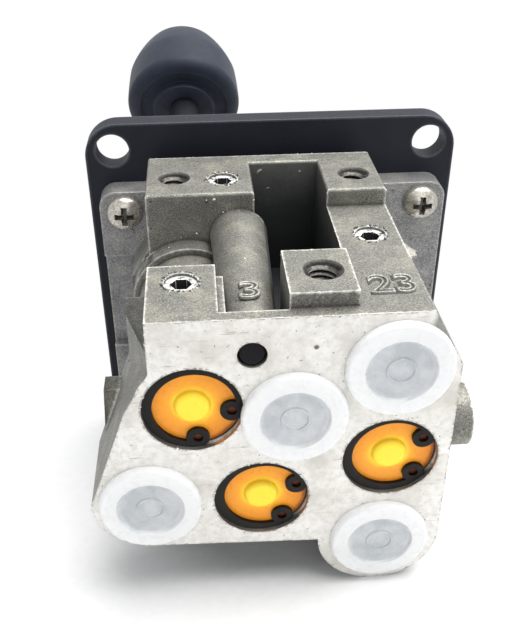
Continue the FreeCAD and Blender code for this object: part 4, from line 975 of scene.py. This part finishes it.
crumbs("staked_metal", STAKED[::3], (0.25 * MM, 0.5 * MM), CHANCE, "crest")
# Dark crumbs around the screws: painted shade.
crumbs("staked_shade", STAKED[1::3] + STAKED[2::3], (0.5 * MM, 0.95 * MM), CHANCE, "stain")
STANDING = facing(FRONT_BURRS, (0, -1, 0)) + facing(UPPER_BURRS, (0, 0, 1))
crumbs("standing_burrs", STANDING, (0.35 * MM, 0.7 * MM), CHANCE, "crest")
crumbs("pocket_burrs", facing(POCKET_BURRS, (0, -1, 0)), (1.0 * MM, 1.4 * MM), CHANCE, "ridge")
flash_tab()


def sees_backdrop(tree):
    """1 for rays that show the backdrop: from the camera, and mirrored or let through by the object."""
    path = tree.nodes.new("ShaderNodeLightPath")
    seen = path.outputs["Is Camera Ray"]
    for kind in ("Is Glossy Ray", "Is Transmission Ray"):
        either = tree.nodes.new("ShaderNodeMath")
        either.operation = "MAXIMUM"
        tree.links.new(seen, either.inputs[0])
        tree.links.new(path.outputs[kind], either.inputs[1])
        seen = either.outputs["Value"]
    return seen


def fade_to_white(look):
    """Away from the object the table runs out into the white backdrop."""
    tree = look.tree
    away = look.share(look.distance(in_valve(0, 40, -40), EVERY_WAY), 0.05, 0.12)
    seen = look.add("ShaderNodeMath")
    seen.operation = "MULTIPLY"
    tree.links.new(away, seen.inputs[0])
    tree.links.new(sees_backdrop(tree), seen.inputs[1])
    white = look.add("ShaderNodeEmission", Color=(1, 1, 1, 1), Strength=1.0)
    mix = look.add("ShaderNodeMixShader", Fac=seen.outputs["Value"])
    tree.links.new(look.shader.outputs["BSDF"], mix.inputs[1])
    tree.links.new(white.outputs["Emission"], mix.inputs[2])
    tree.links.new(mix.outputs["Shader"], tree.nodes["Material Output"].inputs["Surface"])


# How far the table reaches to each side, towards the camera and away from it, in metres
TABLE_SIDE = 1.5
TABLE_NEAR = 0.6
TABLE_FAR = 2.5


def make_floor():
    """A pale table in the slope on which the object leans, so that it reaches far up behind it."""
    along = (PLATE_FOOT - BODY_FOOT).normalized()
    side = Vector((TABLE_SIDE, 0, 0))
    near = BODY_FOOT - along * TABLE_NEAR
    far = PLATE_FOOT + along * TABLE_FAR
    bm = bmesh.new()
    bm.faces.new([bm.verts.new(corner) for corner in (near - side, near + side, far + side, far - side)])
    mesh = bpy.data.meshes.new("table")
    bm.to_mesh(mesh)
    bm.free()
    floor = bpy.data.objects.new("table", mesh)
    SCENE.collection.objects.link(floor)
    look = Surface("pale_table", Roughness=0.7)
    value = look.noise(2 * MM, 3, 0.5)
    look.colour(look.ramp(value, [(0.3, (0.86, 0.865, 0.87)), (0.7, (0.90, 0.905, 0.91))]))
    fade_to_white(look)
    mesh.materials.append(look.material)


def background(tree, colour, strength):
    """A light that comes from all sides."""
    node = tree.nodes.new("ShaderNodeBackground")
    node.inputs["Color"].default_value = (*colour, 1)
    node.inputs["Strength"].default_value = strength
    return node.outputs["Background"]


def make_world():
    """A white backdrop that lights the object with a dimmer and cooler light than it shows."""
    world = bpy.data.worlds.new("studio")
    SCENE.world = world
    world.use_nodes = True
    tree = world.node_tree
    tree.nodes.clear()
    output = tree.nodes.new("ShaderNodeOutputWorld")
    mix = tree.nodes.new("ShaderNodeMixShader")
    tree.links.new(sees_backdrop(tree), mix.inputs["Fac"])
    tree.links.new(background(tree, (0.92, 0.95, 1.0), 0.36), mix.inputs[1])
    tree.links.new(background(tree, (1, 1, 1), 1.0), mix.inputs[2])
    tree.links.new(mix.outputs["Shader"], output.inputs["Surface"])


def add_lamp(name, place, target, size, power, colour):
    """A rectangular lamp that shines from a place towards a target."""
    lamp = bpy.data.lights.new(name, "AREA")
    lamp.shape = "RECTANGLE"
    lamp.size, lamp.size_y = size
    lamp.energy = power
    lamp.color = colour
    holder = bpy.data.objects.new(name, lamp)
    SCENE.collection.objects.link(holder)
    holder.location = place
    holder.rotation_mode = "QUATERNION"
    holder.rotation_quaternion = (target - place).to_track_quat("-Z", "Y")


def make_lamps():
    """A large key lamp from above and a weak one from the front."""
    target = in_valve(0, 30, -30)
    add_lamp("key", Vector((0.22, 0.05, 0.8)), target, (0.9, 0.9), 16.0, (1.0, 0.99, 0.965))
    add_lamp("front", Vector((0.1, -0.8, 0.4)), target, (0.6, 0.5), 0.9, (1.0, 1.0, 1.0))


def make_camera():
    """The photo's camera."""
    camera = bpy.data.cameras.new("camera")
    camera.lens = CAMERA_LENS
    camera.sensor_width = 36.0
    camera.clip_start = 0.01
    camera.clip_end = 20.0
    holder = bpy.data.objects.new("camera", camera)
    SCENE.collection.objects.link(holder)
    turn = (
        Matrix.Rotation(-CAMERA_HEADING, 4, "Z")
        @ Matrix.Rotation(math.pi / 2 - CAMERA_DIP, 4, "X")
        @ Matrix.Rotation(CAMERA_ROLL, 4, "Z")
    )
    holder.matrix_world = Matrix.Translation(CAMERA_PLACE) @ turn
    SCENE.camera = holder


make_floor()
make_world()
make_lamps()
make_camera()
SCENE.view_settings.view_transform = "Standard"
